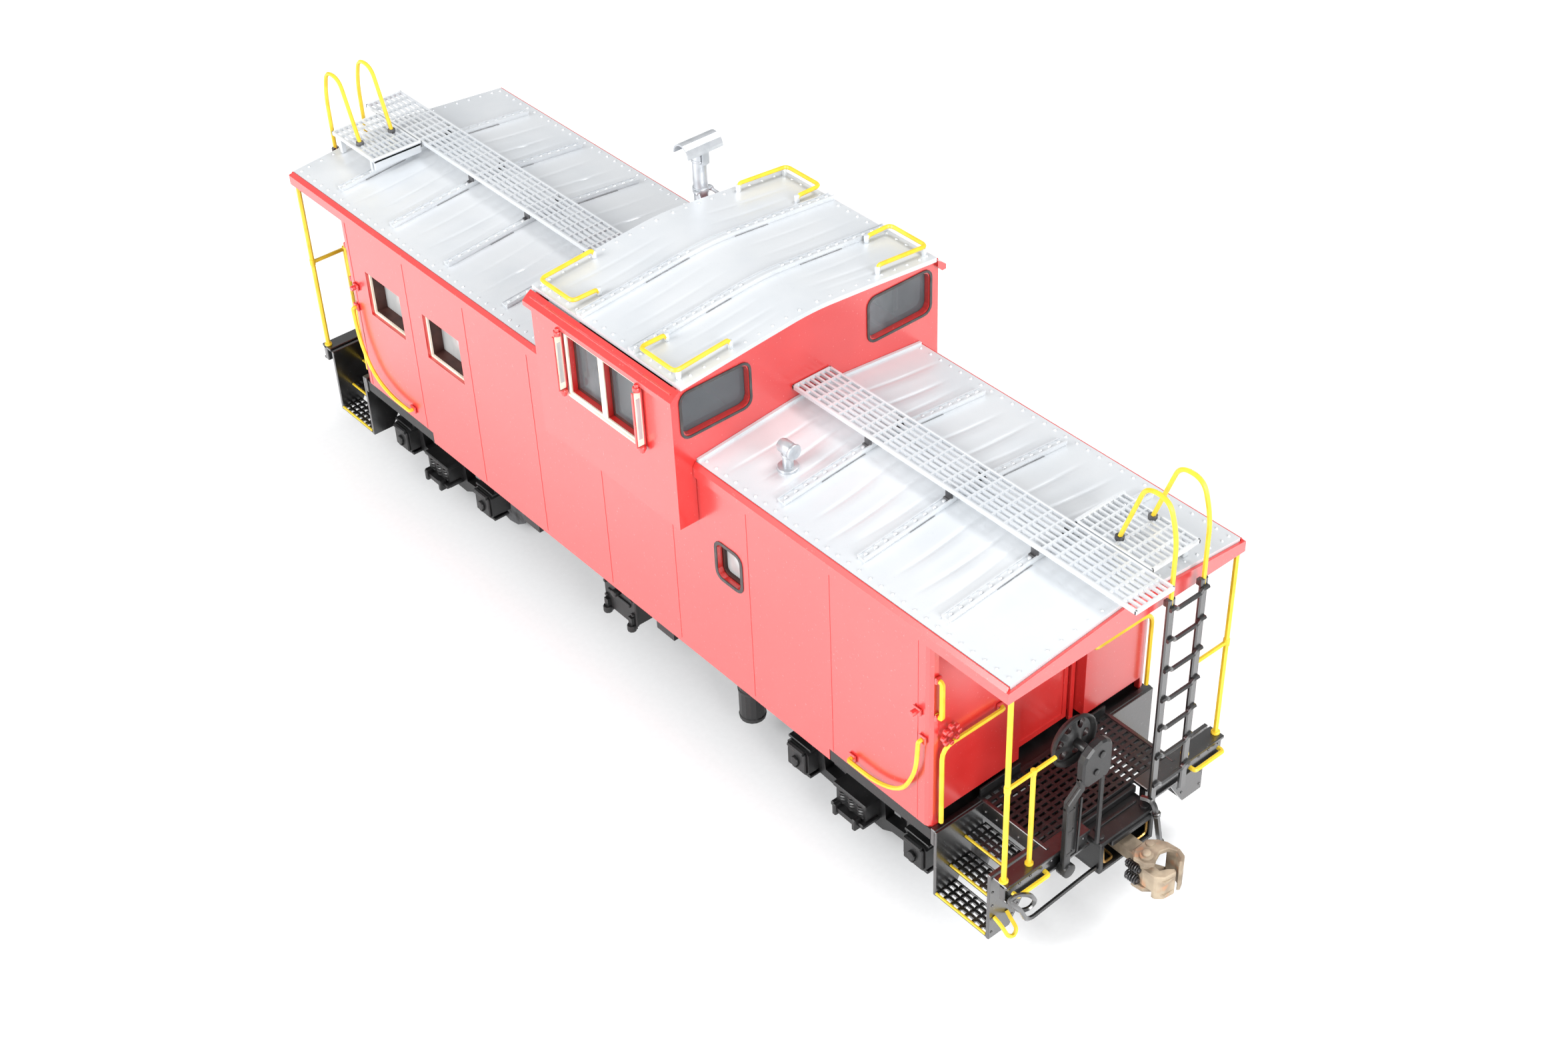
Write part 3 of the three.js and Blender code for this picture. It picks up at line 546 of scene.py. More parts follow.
def rivets(first, last, pitch, facing="+z", size=1.0):
    span = (Vector(last) - Vector(first)) * MM
    count = max(2, round(span.length / (pitch * MM)) + 1)
    alone(one_rivet)
    bpy.ops.object.duplicate()
    row = bpy.context.active_object
    row.rotation_euler = FACING[facing]
    row.scale = (size, size, size)
    row.location = Vector(first) * MM
    settle(row)
    return modify(row, "ARRAY", count=count, use_relative_offset=False,
                  use_constant_offset=True, constant_offset_displace=span / (count - 1))


def grating(low, high, cells, bar, thick, corner=0.0, narrow=1.0):
    """A sheet of slots between two (x, y) corners, its top at z."""
    (x0, y0, z), (x1, y1, _) = low, high
    pitch = ((x1 - x0) / cells[0] * MM, (y1 - y0) / cells[1] * MM)
    bpy.ops.object.select_all(action="DESELECT")
    bpy.ops.mesh.primitive_plane_add(
        size=1.0, location=(x0 * MM + pitch[0] / 2, y0 * MM + pitch[1] / 2, z * MM))
    slot = bpy.context.active_object
    slot.scale = (*pitch, 1.0)
    settle(slot)
    steps = [(bpy.ops.mesh.inset, {"thickness": bar * MM})]
    if narrow != 1.0:
        steps.append((bpy.ops.transform.resize, {"value": (narrow, 1.0, 1.0)}))
    if corner:
        steps.append((bpy.ops.mesh.bevel, {"offset": corner * MM, "segments": 2,
                                           "affect": "VERTICES"}))
    steps.append((bpy.ops.mesh.delete, {"type": "FACE"}))
    in_edit(slot, *steps)
    for axis, count in enumerate(cells):
        shift = [0.0, 0.0, 0.0]
        shift[axis] = pitch[axis]
        modify(slot, "ARRAY", count=count, use_relative_offset=False, use_constant_offset=True,
               constant_offset_displace=shift, use_merge_vertices=True, merge_threshold=0.002 * MM)
    return modify(slot, "SOLIDIFY", thickness=thick * MM, offset=-1.0)


def millimetres(node):
    low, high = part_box(node)
    return low / MM, high / MM


print("one rivet has", len(one_rivet.data.polygons), "faces")

# %% [markdown]
# ## The roofs
# The roof is thin sheet folded over a rounded ridge. Straps with rivets cover its seams, and
# the sheet between them is dented where it was pressed: three shallow creases on each slope.
# A flat grid, cut finely along the roof where the creases are narrow, takes the shape best:
# each vertex is set on the slope or in a crease, then Solidify gives the sheet its thickness.


# %% Roof sheets
CELL_LENGTH, CELLS_ACROSS = 0.2, 30


class Roof:
    """The shape of one roof: its slope, its rounded ridge and the places of its straps."""

    def __init__(self, node, half, eave, ridge, straps):
        low, high = millimetres(node)
        self.node, self.x0, self.x1, self.half = node, low.x, high.x, half
        self.fall, self.ridge, self.straps = (ridge - eave) / half, ridge, straps

    def height(self, y, bend=3.0):
        a = abs(y)
        if a < bend:
            return self.ridge - self.fall * (bend / 2 + a * a / (2 * bend))
        return self.ridge - self.fall * a


def draped(roof, low, high, cells, lift, thick, dents=()):
    """A sheet between two (x, y) corners that follows the roof, so far above it."""
    (x0, y0), (x1, y1) = low, high
    bpy.ops.object.select_all(action="DESELECT")
    bpy.ops.mesh.primitive_grid_add(x_subdivisions=cells[0], y_subdivisions=cells[1], size=1.0,
                                    location=((x0 + x1) / 2 * MM, (y0 + y1) / 2 * MM, 0.0))
    piece = bpy.context.active_object
    piece.scale = ((x1 - x0) * MM, (y1 - y0) * MM, 1.0)
    settle(piece)
    for vertex in piece.data.vertices:
        x, y = vertex.co.x / MM, vertex.co.y / MM
        sunk = sum(dent(x, y) for dent in dents)
        vertex.co.z = (roof.height(y) + lift - sunk) * MM
    modify(piece, "SOLIDIFY", thickness=thick * MM, offset=-1.0)
    return smooth(piece, 50)


def crease(x, side, inner, outer, lean, depth):
    """A long shallow dent across a slope that narrows and fades towards its ends."""
    def dent(px, py):
        along = (side * py - inner) / (outer - inner)
        if not 0.0 < along < 1.0:
            return 0.0
        off = px - x - lean * (along - 0.5) - 0.35 * sin(along * 2.6)
        groove = depth * sin(pi * along) ** 0.6 / (1 + (off / 0.13) ** 2)
        swell = 0.5 * depth * sin(pi * along) / (1 + ((off - 1.1) / 0.75) ** 2)
        return groove - swell
    return dent


def creases(roof, bays, amount):
    dents = []
    for bay, (start, end) in enumerate(bays):
        for number, part in enumerate((0.3, 0.62, 0.84)):
            for side in (-1, 1):
                lean = 0.5 * sin(bay * 2.1 + number * 1.7 + side)
                reach = roof.half * (0.92 - 0.13 * abs(sin(bay + number * 2.0)))
                depth = (0.14, 0.16, 0.1)[number] * amount
                x = start + (end - start) * part
                dents.append(crease(x, side, 2.4, reach, lean, depth))
    return dents


def strap(roof, x, reach):
    """A seam cover: a flat strap between two raised lips, with a row of rivets."""
    parts = [draped(roof, (x + left, -reach), (x + right, reach), (1, 40), lift, 0.36)
             for left, right, lift in ((-0.5, 0.5, 0.32), (0.4, 0.58, 0.62), (-0.58, -0.46, 0.46))]
    for side in (-1, 1):
        start, end = side * 2.9, side * (reach - 0.7)
        parts.append(rivets((x - 0.05, start, roof.height(start) + 0.32),
                            (x - 0.05, end, roof.height(end) + 0.32), 1.28, "+z", 1.35))
    return joined(parts)


def strap_shadow_lines(roof):
    """A painted shadow: a dark grey hairline beside a strap's edge, standing in for the shade
    under it.
    """
    lines = []
    for number, x in enumerate(roof.straps):
        for side in (-1, 1):
            start = 3.2 + 1.6 * (number % 2)
            ends = sorted((side * start, side * (start + 3.4 + 1.3 * ((number + side) % 3))))
            low, high = (x + 0.57, ends[0]), (x + 0.63, ends[1])
            lines.append(draped(roof, low, high, (1, 24), 0.06, 0.05))
    return dress(joined(lines), roof.node + "_seam_gaps", "car", "black_paint", strap_shadow_grey)


def edge_rivets(roof, ends):
    rows = []
    for side in (-1, 1):
        y = side * (roof.half - 0.7)
        z = roof.height(y)
        rows.append(rivets((roof.x0 + 0.9, y, z), (roof.x1 - 0.9, y, z), 1.58))
        for x in ends:
            rows.append(rivets((x, side * 1.2, roof.height(1.2)), (x, side * (roof.half - 1.9),
                        roof.height(roof.half - 1.9)), 1.75))
    return rows


def make_roof(roof, ends, bays, reach, amount=1.0):
    cells = (round((roof.x1 - roof.x0) / CELL_LENGTH), CELLS_ACROSS)
    parts = [draped(roof, (roof.x0, -roof.half), (roof.x1, roof.half), cells, 0.0, 0.55,
                    creases(roof, bays, amount))]
    parts += [strap(roof, x, reach) for x in roof.straps] + edge_rivets(roof, ends)
    strap_shadow_lines(roof)
    return dress(joined(parts), roof.node + "_sheet", "car", "silver_paint", silver_paint,
                 roof.node)


# A grey for the painted shadow lines beside the roof's straps.
strap_shadow_grey = enamel("strap_shadow_grey", colour(104, 104, 106), colour(140, 140, 142),
                  colour(150, 150, 150), 0.6, 0.004, cloud=1.5, specks=0.3)
MAIN_ROOF, MAIN_REACH, EDGE = {"half": 15.96, "eave": 42.1, "ridge": 43.6}, 14.2, 0.75
roof_a = Roof("roof_a", **MAIN_ROOF, straps=(29.6, 41.8, 53.9))
roof_b = Roof("roof_b", **MAIN_ROOF, straps=(-19.8, -31.9, -43.9, -55.8))
roof_top = Roof("cupola_roof", half=17.79, eave=52.8, ridge=54.4, straps=(1.2, 10.3))
make_roof(roof_a, [roof_a.x1 - EDGE], [(18.6, 29.0), (30.2, 41.2), (42.4, 53.3)], MAIN_REACH)
make_roof(roof_b, [roof_b.x0 + EDGE],
          [(-19.2, -7.6), (-31.3, -20.4), (-43.3, -32.5), (-55.2, -44.5)], MAIN_REACH)
make_roof(roof_top, [roof_top.x0 + EDGE, roof_top.x1 - EDGE],
          [(-6.2, 0.6), (1.8, 9.7), (10.9, 17.6)], reach=17.75, amount=0.5)

# %% [markdown]
# Where the main roof runs into the cupola, a thin soldered fillet closes the joint. It is a
# narrow strip that follows the same slope, standing against the cupola's end wall.

# %% Flashing at the cupola
EAVE_Y, FILLET = 15.9, 0.35
fillets = [draped(roof, (x, -EAVE_Y), (x + FILLET, EAVE_Y), (1, 40), 0.3, 0.3)
           for roof, x in ((roof_a, roof_a.x0), (roof_b, roof_b.x1 - FILLET))]
dress(joined(fillets), "cupola_flashing", "car", "silver_paint", silver_paint)

# %% [markdown]
# ## Running boards
# The roof walk is an etched grating: seven rows of slots between narrow bars, with a plain
# rim that is turned down all round. It stands on small angle brackets at the roof's straps.


# %% Roof walks
WALK_UNDER, SADDLE_Y, RAIL_Y, LOOP_X = 45.0, 2.3, (4.1, 8.8), 59.0


def walk_sheet(x0, x1, y0, y1, top, cells):
    rim = 0.18
    slots = grating((x0 + rim, y0 + rim, top), (x1 - rim, y1 - rim, top), cells, 0.12, 0.3)
    rims = [block((x0, y0, top - 0.5), (x1, y0 + 0.25, top + 0.02), 0.05),
            block((x0, y1 - 0.25, top - 0.5), (x1, y1, top + 0.02), 0.05),
            block((x0, y0, top - 0.5), (x0 + 0.25, y1, top + 0.02), 0.05),
            block((x1 - 0.25, y0, top - 0.5), (x1, y1, top + 0.02), 0.05)]
    return [slots] + rims


def saddle(roof, x, y):
    """An angle bracket under the walk: a foot on the strap and a web up to the rim."""
    z = roof.height(y) + 0.26
    return [block((x - 0.55, y - 0.4, z), (x + 0.55, y + 0.4, z + 0.22)),
            block((x - 0.5, y - 0.12, z), (x + 0.5, y + 0.12, WALK_UNDER))]


for end, roof in (("a", roof_a), ("b", roof_b)):
    low, high = millimetres("running_board_" + end)
    count = round((high.x - low.x) / 1.77)
    parts = walk_sheet(low.x, high.x, low.y, high.y, high.z, (count, 7))
    feet = [part for x in roof.straps for side in (-1, 1)
            for part in saddle(roof, x, side * SADDLE_Y)]
    dress(joined(parts), "roof_walk_" + end, "car", "silver_paint", silver_paint,
          "running_board_" + end)
    dress(joined(feet), "roof_walk_saddles_" + end, "car", "silver_paint", grey_paint)

low, high = millimetres("side_walk_a")
parts = walk_sheet(low.x, high.x, low.y, high.y, high.z, (6, 9))
parts.append(wire([(low.x + 0.1, low.y, high.z), (low.x + 0.1, high.y, high.z)], 0.24))
parts.append(block((low.x, low.y, high.z - 1.5), (low.x + 0.3, high.y, high.z), 0.05))
for x in (low.x + 1.4, high.x - 1.4):
    z = roof_a.height(high.y - 0.5) + 0.02
    parts.append(block((x - 0.25, high.y - 0.9, z), (x + 0.25, high.y - 0.2, high.z - 0.3)))
side_walk = joined(parts)
sockets = [rod((LOOP_X, y, high.z + 0.12), 0.5, 0.5, sides=10) for y in RAIL_Y]
both_ends(joined(sockets), "loop_sockets", "silver_paint", grey_paint)
both_ends(side_walk, "ladder_walk", "silver_paint", silver_paint, "side_walk")

# %% [markdown]
# ## Ladders
# Each end has a ladder of flat rails with drop rungs, black up to the roof, and two yellow
# hand loops that go on over the roof and come down through the side walk.

# %% Ladders
RAIL_X, RUNG_X, RUNG_Z = 66.0, 66.34, [17.0 + number * 4.0 for number in range(7)]
rails = []
for y in RAIL_Y:
    foot = 14.1 if y == RAIL_Y[0] else 13.2
    rails.append(block((RAIL_X - 0.24, y - 0.5, foot), (RAIL_X + 0.24, y + 0.5, 42.2), 0.14))
    rails.append(block((RAIL_X - 0.75, y - 0.3, 40.9), (RAIL_X - 0.1, y + 0.3, 41.7), 0.1))
for z in RUNG_Z:
    rails.append(wire([(RUNG_X, 3.7, z), (RUNG_X, 4.5, z), (RUNG_X, 4.75, z - 0.35),
                       (RUNG_X, 8.15, z - 0.35), (RUNG_X, 8.4, z), (RUNG_X, 9.2, z)],
                      0.27, 0.3, 2))
both_ends(joined(rails), "ladder_rails", "black_paint", black_paint, "ladder")
loops = [wire([(RAIL_X, y, 41.4), (RAIL_X, y, 49.6), (RAIL_X - 1.2, y, 53.4),
               (RAIL_X - 4.2, y, 53.4), (LOOP_X, y, 45.6)], 0.26, 2.6, 8) for y in RAIL_Y]
both_ends(joined(loops), "ladder_loops", "yellow_paint", yellow_paint)

# %% [markdown]
# ## Windows
# A window of this car is a stack: the red wall with its cut edge, a thin cream sash just
# inside, a sleeve painted dark brown as painted shade for the shadowed inside of the opening,
# and the pane. Every layer is the same shape, a plane turned to face out, its corners rounded,
# its middle inset and removed, and the ring made solid.


# %% Rings and panes
def ring(u, v, at, axis="y", band=0.3, corner=0.0):
    """A flat ring over spans u and v between two depths; a whole plate if band is 0."""
    middle = (sum(u) / 2, sum(v) / 2, sum(at) / 2)
    place = {"y": (middle[0], middle[2], middle[1]), "x": (middle[2], middle[0], middle[1])}[axis]
    turn = {"y": (pi / 2, 0.0, 0.0), "x": (pi / 2, 0.0, pi / 2)}[axis]
    bpy.ops.object.select_all(action="DESELECT")
    bpy.ops.mesh.primitive_plane_add(size=1.0, location=Vector(place) * MM, rotation=turn)
    piece = bpy.context.active_object
    piece.scale = ((u[1] - u[0]) * MM, (v[1] - v[0]) * MM, 1.0)
    settle(piece)
    steps = []
    if corner:
        steps.append((bpy.ops.mesh.bevel, {"offset": corner * MM, "segments": 4,
                                           "affect": "VERTICES"}))
    steps.append((bpy.ops.mesh.inset, {"thickness": (band or 0.15) * MM}))
    if band:
        steps.append((bpy.ops.mesh.delete, {"type": "FACE"}))
    in_edit(piece, *steps)
    return modify(piece, "SOLIDIFY", thickness=abs(at[1] - at[0]) * MM, offset=0.0)


def shrunk(span, by):
    return (span[0] + by, span[1] - by)


def milky_pane(name, base, rough):
    material, shade = new_material(name)
    place = place_on_object(shade)
    smear = noise(shade, place, 0.3, detail=3.0, roughness=0.6,
                  stretch=(1.0, 1.0, 0.4)).above(0.4, 0.7)
    tint = smear.mix(colour(*base), colour(*(v * 0.9 for v in base)))
    normal = bump(shade, noise(shade, place, 0.6, detail=2.0), 0.02)
    return finish_material(material, shade, {
        "Base Color": tint, "Roughness": smear * 0.12 + rough, "Normal": normal,
        "Coat Weight": 1.0, "Coat Roughness": 0.05})


grey_pane = milky_pane("grey_plastic_pane", (176, 178, 178), 0.18)
smoky_pane = milky_pane("smoky_plastic_pane", (112, 117, 115), 0.18)
cream_trim = enamel("cream_trim", colour(232, 222, 206), colour(214, 200, 182),
                    colour(170, 140, 120), 0.4, 0.006, cloud=0.6, specks=0.2)
# Painted shade: the dark brown of the sleeves and liners stands in for the shadow inside the
# window openings.
painted_shade_sleeve = enamel("painted_shade_sleeve", colour(58, 34, 30), colour(74, 46, 40), colour(96, 60, 52),
                     0.5, 0.008, cloud=0.6, specks=0.3)
rubber = enamel("grey_rubber", colour(58, 54, 54), colour(74, 70, 70), colour(120, 118, 116), 0.5,
                0.006, cloud=0.8, specks=0.3)

# %% [markdown]
# Each side has two square windows and one porthole. The layers of a window differ only in
# their depth behind the wall's face, so one helper places them all. The porthole has a rubber
# gasket on the face instead of a sash. Everything is made on the right side and mirrored.

# %% Body windows
WALL_Y = 16.1
SQUARE, SILL_Z = ((-49.4, -41.5), (-36.4, -28.4)), (27.7, 34.1)
PORTHOLE = ((20.6, 24.6), (28.2, 32.9))


def layer(u, v, smaller, depths, wall=WALL_Y, **shape):
    """A ring or pane in an opening, between two depths behind the right-hand wall."""
    at = [depth - wall for depth in depths]
    return ring(shrunk(u, smaller), shrunk(v, smaller), at, **shape)


sashes = [layer(span, SILL_Z, 0.02, (0.4, 0.66), band=0.32) for span in SQUARE]
# The sleeves are dark brown as painted shade inside the openings.
sleeves = [layer(span, SILL_Z, 0.1, (0.74, 2.1), band=0.35) for span in SQUARE]
panes = [layer(span, SILL_Z, -0.2, (2.12, 2.4), band=0.0) for span in SQUARE]
gasket = layer(*PORTHOLE, -0.36, (-0.1, 0.02), band=0.4, corner=1.2)
sleeves.append(layer(*PORTHOLE, 0.02, (0.74, 1.1), band=0.3, corner=0.9))
panes.append(layer(*PORTHOLE, -0.2, (1.12, 1.4), band=0.0))
both_sides(joined(sashes), "window_sashes", "silver_paint", cream_trim)
both_sides(joined(sleeves), "window_sleeves", "black_paint", painted_shade_sleeve)
both_sides(gasket, "window_gasket", "black_paint", rubber)
both_sides(joined(panes), "window_panes", "glazing", grey_pane, "side_glazing")

# %% [markdown]
# The cupola's side windows have a flat cream frame with a mullion, and a wind deflector at
# each end: a narrow cream blade with a glass set in it, held between two thin red bars, with
# a red knob at the top and the bottom. The end windows are set in grey rubber.

# %% Cupola windows
BAY_Y, BAY_X, BAY_Z = 18.67, (-0.2, 12.0), (42.8, 50.3)
trim = [layer(BAY_X, BAY_Z, -0.4, (-0.16, 0.02), BAY_Y, band=0.42),
        block((5.45, -BAY_Y - 0.2, 42.6), (6.35, -BAY_Y + 0.02, 50.5), 0.06),
        block((-0.7, -BAY_Y - 0.34, 42.2), (12.5, -BAY_Y + 0.02, 42.5), 0.06)]
# The liners are dark brown as painted shade inside the cupola windows.
liners = [ring(span, shrunk(BAY_Z, 0.02), (-BAY_Y + 0.72, -BAY_Y + 1.3), band=0.4)
          for span in ((-0.2, 5.55), (6.25, 12.0))]
pane = layer(BAY_X, BAY_Z, -0.1, (1.32, 1.5), BAY_Y, band=0.0)
DEFLECTOR_X, KNOB_Y, KNOB_Z = (12.9, -1.1), -19.25, ((42.75, -0.42), (50.35, 0.42))
blades, knobs, glass = [], [], []
for x in DEFLECTOR_X:
    blades.append(block((x - 0.14, -19.8, 43.1), (x + 0.14, -18.94, 50.0), 0.06))
    knobs += [block((x - 0.17, y0, 43.0), (x + 0.17, y1, 50.1), 0.06)
              for y0, y1 in ((-19.97, -19.78), (-18.96, -18.74))]
    glass.append(block((x - 0.19, -19.62, 44.0), (x + 0.19, -19.12, 49.2), 0.03))
    for z, tip in KNOB_Z:
        knobs += [rod((x, KNOB_Y, z), 0.5, 0.62, sides=10, edge=0.15),
                  rod((x, KNOB_Y, z + tip), 0.3, 0.4, sides=8, edge=0.1)]
both_sides(joined(trim), "cupola_frame", "silver_paint", cream_trim)
both_sides(joined(liners), "cupola_liners", "black_paint", painted_shade_sleeve)
both_sides(pane, "cupola_pane", "glazing", smoky_pane)
both_sides(joined(glass), "cupola_deflector_glass", "glazing", grey_pane)
both_sides(joined(blades), "deflector_frames", "red_paint", cream_trim, "wind_deflector",
           ("_a", "_b"))
both_sides(joined(knobs), "deflector_knobs", "red_paint", red_paint)

END_Y, END_Z = (8.5, 17.3), (45.8, 51.0)
seals = []
for x0, x1 in ((17.86, 17.98), (-6.94, -6.82)):
    for side in (-1, 1):
        span = sorted(side * y for y in END_Y)
        seals.append(ring(shrunk(span, -0.38), shrunk(END_Z, -0.38), (x0, x1), "x", 0.3, 1.2))
dress(joined(seals), "cupola_end_gaskets", "car", "black_paint", rubber)

# %% [markdown]
# ## Car ends
# The end door stands back in its recess. It is a plain steel door with a drop window, a
# raised frame, three hinges and a round knob, so blocks, rings and short rods make it.

# %% End doors
DOOR_X, DOOR_FACE, JAMB_X = 52.24, 52.5, 52.75
leaf = [block((DOOR_X, -2.7, 16.0), (DOOR_FACE, 5.3, 38.6), 0.08),
        ring((-2.4, 5.0), (16.4, 38.2), (DOOR_FACE, 52.62), "x", 0.5),
        ring((-0.2, 2.9), (29.0, 35.0), (DOOR_FACE, 52.8), "x", 0.35),
        block((DOOR_X, -3.4, 15.4), (JAMB_X, -2.9, 39.2), 0.08),
        block((DOOR_X, 5.5, 15.4), (JAMB_X, 6.1, 39.2), 0.08),
        block((DOOR_X, -3.4, 38.9), (JAMB_X, 6.1, 39.5), 0.08)]
leaf += [rod((52.72, -2.8, z), 0.22, 1.6, sides=8) for z in (19.0, 27.0, 35.0)]
leaf.append(rod((52.9, 4.5, 26.0), 0.42, 0.7, "x", 12, 0.12))
both_ends(joined(leaf), "end_door", "red_paint", red_paint)
pane = ring((0.1, 2.6), (29.3, 34.7), (DOOR_FACE, 52.58), "x", 0.0)
both_ends(pane, "door_pane", "glazing", grey_pane)

# %% [markdown]
# ## End platforms
# The platform is folded from thin sheet: a deck of short slots, a channel across the end that
# is cut away over the draft box, and a well of three open treads down each side. All of it is
# black, apart from the yellow nosings that show a trainman where to step. The deck and the
# beam come first: a grating over a black sheet that is painted shade for the shadow under the
# deck on all but its far side, blocks for the folded edges, and rivets.

# %% Deck and end beam
DECK_Z, DECK_Y = 15.3, 9.6
plate = [grating((54.6, -9.2, DECK_Z), (63.2, 9.2, DECK_Z), (11, 16), 0.16, 0.3, narrow=0.78),
         # Painted shade: a black sheet under most of the grating darkens its slots where the
         # shadow below the deck falls.
         block((56.0, -9.2, 13.7), (62.6, 4.4, 13.9), 0.05),
         block((54.2, -9.3, 14.7), (54.7, 9.3, DECK_Z), 0.05),
         block((63.0, -9.3, 14.7), (63.32, 9.3, DECK_Z + 0.02), 0.05)]
deck = []
for side in (-1, 1):
    y = sorted((side * 9.15, side * DECK_Y))
    deck.append(block((54.2, y[0], 13.3), (64.3, y[1], DECK_Z + 0.14), 0.06))
    y = sorted((side * 4.2, side * 16.2))
    deck.append(block((64.2, y[0], 13.0), (65.0, y[1], DECK_Z), 0.1))
    deck.append(block((63.3, y[0], 14.9), (65.3, y[1], DECK_Z + 0.05), 0.08))
    deck.append(block((64.9, y[0], 13.0), (65.3, y[1], 13.35), 0.06))
    deck.append(rivets((65.0, side * 5.0, 14.4), (65.0, side * 15.6, 14.4), 1.5, "+x", 0.9))
    y = sorted((side * 9.2, side * 16.2))
    deck.append(block((54.2, y[0], 13.0), (54.9, y[1], DECK_Z), 0.08))
    deck.append(rivets((55.6, side * 9.62, 14.2), (63.6, side * 9.62, 14.2), 1.6,
                       "+y" if side > 0 else "-y", 0.9))
for y0, y1 in ((-9.3, -3.5), (6.2, 9.3)):
    plate.append(block((54.2, y0, DECK_Z), (54.5, y1, 16.4), 0.05))
both_ends(joined(plate), "deck_sheet", "black_paint", chassis_black)

# %% [markdown]
# A step well hangs between two cheek plates, which are cut in the outline of the steps. The
# treads are gratings with a rim in front and behind, and each one has a yellow wire nosing.

# %% Step wells
STEP_X, TREADS = (54.7, 63.0), ((16.2, 6.2), (14.2, 9.1), (12.1, 12.0))
CHEEK = ((16.2, 5.7), (13.2, 5.7), (11.1, 9.2), (10.95, 11.4), (9.5, 12.0), (9.5, 15.2),
         (16.2, 15.2))
nosings = []
for side in (-1, 1):
    for x in (STEP_X[0], STEP_X[1] - 0.45):
        outline = [(x, side * y, z) for y, z in CHEEK]
        deck.append(sheet(outline, 0.45, (1, 0, 0), 0.05))
    face = STEP_X[1]
    deck.append(rivets((face, side * 15.8, 6.6), (face, side * 15.8, 14.6), 1.9, "+x", 0.9))
    deck.append(rivets((face, side * 12.9, 7.2), (face, side * 11.5, 9.4), 1.6, "+x", 0.9))
    for outer, z in TREADS:
        y = sorted((side * outer, side * (outer - 3.0)))
        deck.append(grating((STEP_X[0] + 0.45, y[0], z), (STEP_X[1] - 0.45, y[1], z), (7, 4), 0.17,
                            0.3, 0.12))
        for y0, y1 in ((y[0], y[0] + 0.16), (y[1] - 0.16, y[1])):
            deck.append(block((STEP_X[0] + 0.4, y0, z - 0.4), (STEP_X[1] - 0.4, y1, z + 0.02),
                              0.03))
        nosings.append(wire([(STEP_X[0] + 0.5, side * (outer - 0.02), z),
                             (STEP_X[1] - 0.5, side * (outer - 0.02), z)], 0.17))
both_ends(joined(deck), "platform", "black_paint", black_paint, "end_platform")

# %% [markdown]
# The wire work at the ends is bent brass, yellow where a hand or foot goes. A stirrup hangs
# under the steps on the brake side only. Each bracket that holds a wire to the red body is a
# little red lug, because it was painted with the body, and so is the small valve wheel.

# %% Yellow wires
SILL_X = 65.3
for side in (-1, 1):
    y = (side * 15.3, side * 10.9)
    nosings.append(wire([(SILL_X, y[0], 14.1), (SILL_X + 0.7, y[0], 14.1),
                         (SILL_X + 0.7, y[1], 14.1), (SILL_X, y[1], 14.1)], 0.27, 0.5))
    nosings.append(wire([(54.1, side * 15.4, 35.5), (54.85, side * 15.4, 35.5),
                         (54.85, side * 15.4, 30.7), (54.1, side * 15.4, 30.7)], 0.3, 0.5))
stirrup = [(63.0, -15.5, 8.7), (64.1, -15.5, 8.3), (64.7, -15.1, 6.9), (64.8, -14.4, 6.4),
           (64.7, -13.8, 7.0), (63.0, -13.7, 8.3)]
nosings.append(wire(stirrup, 0.24, 0.8))
both_ends(joined(nosings), "yellow_steps_and_grabs", "yellow_paint", yellow_paint)

LUG_X, VALVE = (54.12, 54.5), (-14.1, 27.8)
lugs = []
for side in (-1, 1):
    for y, z0, z1, edge in ((15.4, 35.2, 36.0, 0.12), (15.4, 30.2, 31.0, 0.12),
                            (6.7, 26.1, 27.0, 0.1)):
        lugs.append(block((LUG_X[0], side * y - 0.45, z0), (LUG_X[1], side * y + 0.45, z1), edge))
    out = side * (WALL_Y + 0.02)
    y = sorted((out, out + side * 0.3))
    for x, z, half_x, half_z in ((53.0, 27.2, 0.55, 0.5), (42.3, 16.7, 0.55, 0.5),
                                 (52.2, 30.6, 0.6, 0.45)):
        lugs.append(block((x - half_x, y[0], z - half_z), (x + half_x, y[1], z + half_z), 0.1))
    lugs.append(rod((52.2, out + side * 0.5, 30.6), 0.34, 0.9, "y", 8, 0.08))
valve = [rod((54.5, *VALVE), 0.35, 0.8, "x", 10, 0.1)]
for number in range(8):
    angle = number * pi / 4
    valve.append(rod((54.85, VALVE[0] + 1.05 * cos(angle), VALVE[1] + 1.05 * sin(angle)), 0.3,
                     0.5, "x", 8, 0.1))
both_ends(joined(lugs + valve), "body_brackets", "red_paint", red_paint)

# %% [markdown]
# ## Brake gear
# The hand brake is a geared housing on a bent column, with a dished wheel behind it and a rod
# going down beside it. The wheel is spun from a profile: a vertex chain turned about its axle.
# Its six holes are drilled with one Boolean, by six short rods joined into one cutter.


# %% Brake wheel and stand
def spun(profile, centre, axis, steps=28):
    """A profile of (radius, height) pairs turned about an axis through a centre."""
    along = {"x": Vector((1, 0, 0)), "y": Vector((0, 1, 0)), "z": Vector((0, 0, 1))}[axis]
    out = Vector((0, 1, 0)) if axis == "x" else Vector((1, 0, 0))
    chain = trace([Vector(centre) + out * r + along * h for r, h in profile])
    spin = {"steps": steps, "angle": 2 * pi, "center": Vector(centre) * MM, "axis": along}
    merge = {"threshold": 0.004 * MM}
    in_edit(chain, (bpy.ops.mesh.spin, spin), (bpy.ops.mesh.select_all, {"action": "SELECT"}),
            (bpy.ops.mesh.remove_doubles, merge),
            (bpy.ops.mesh.normals_make_consistent, {"inside": False}))
    return smooth(chain, 40)


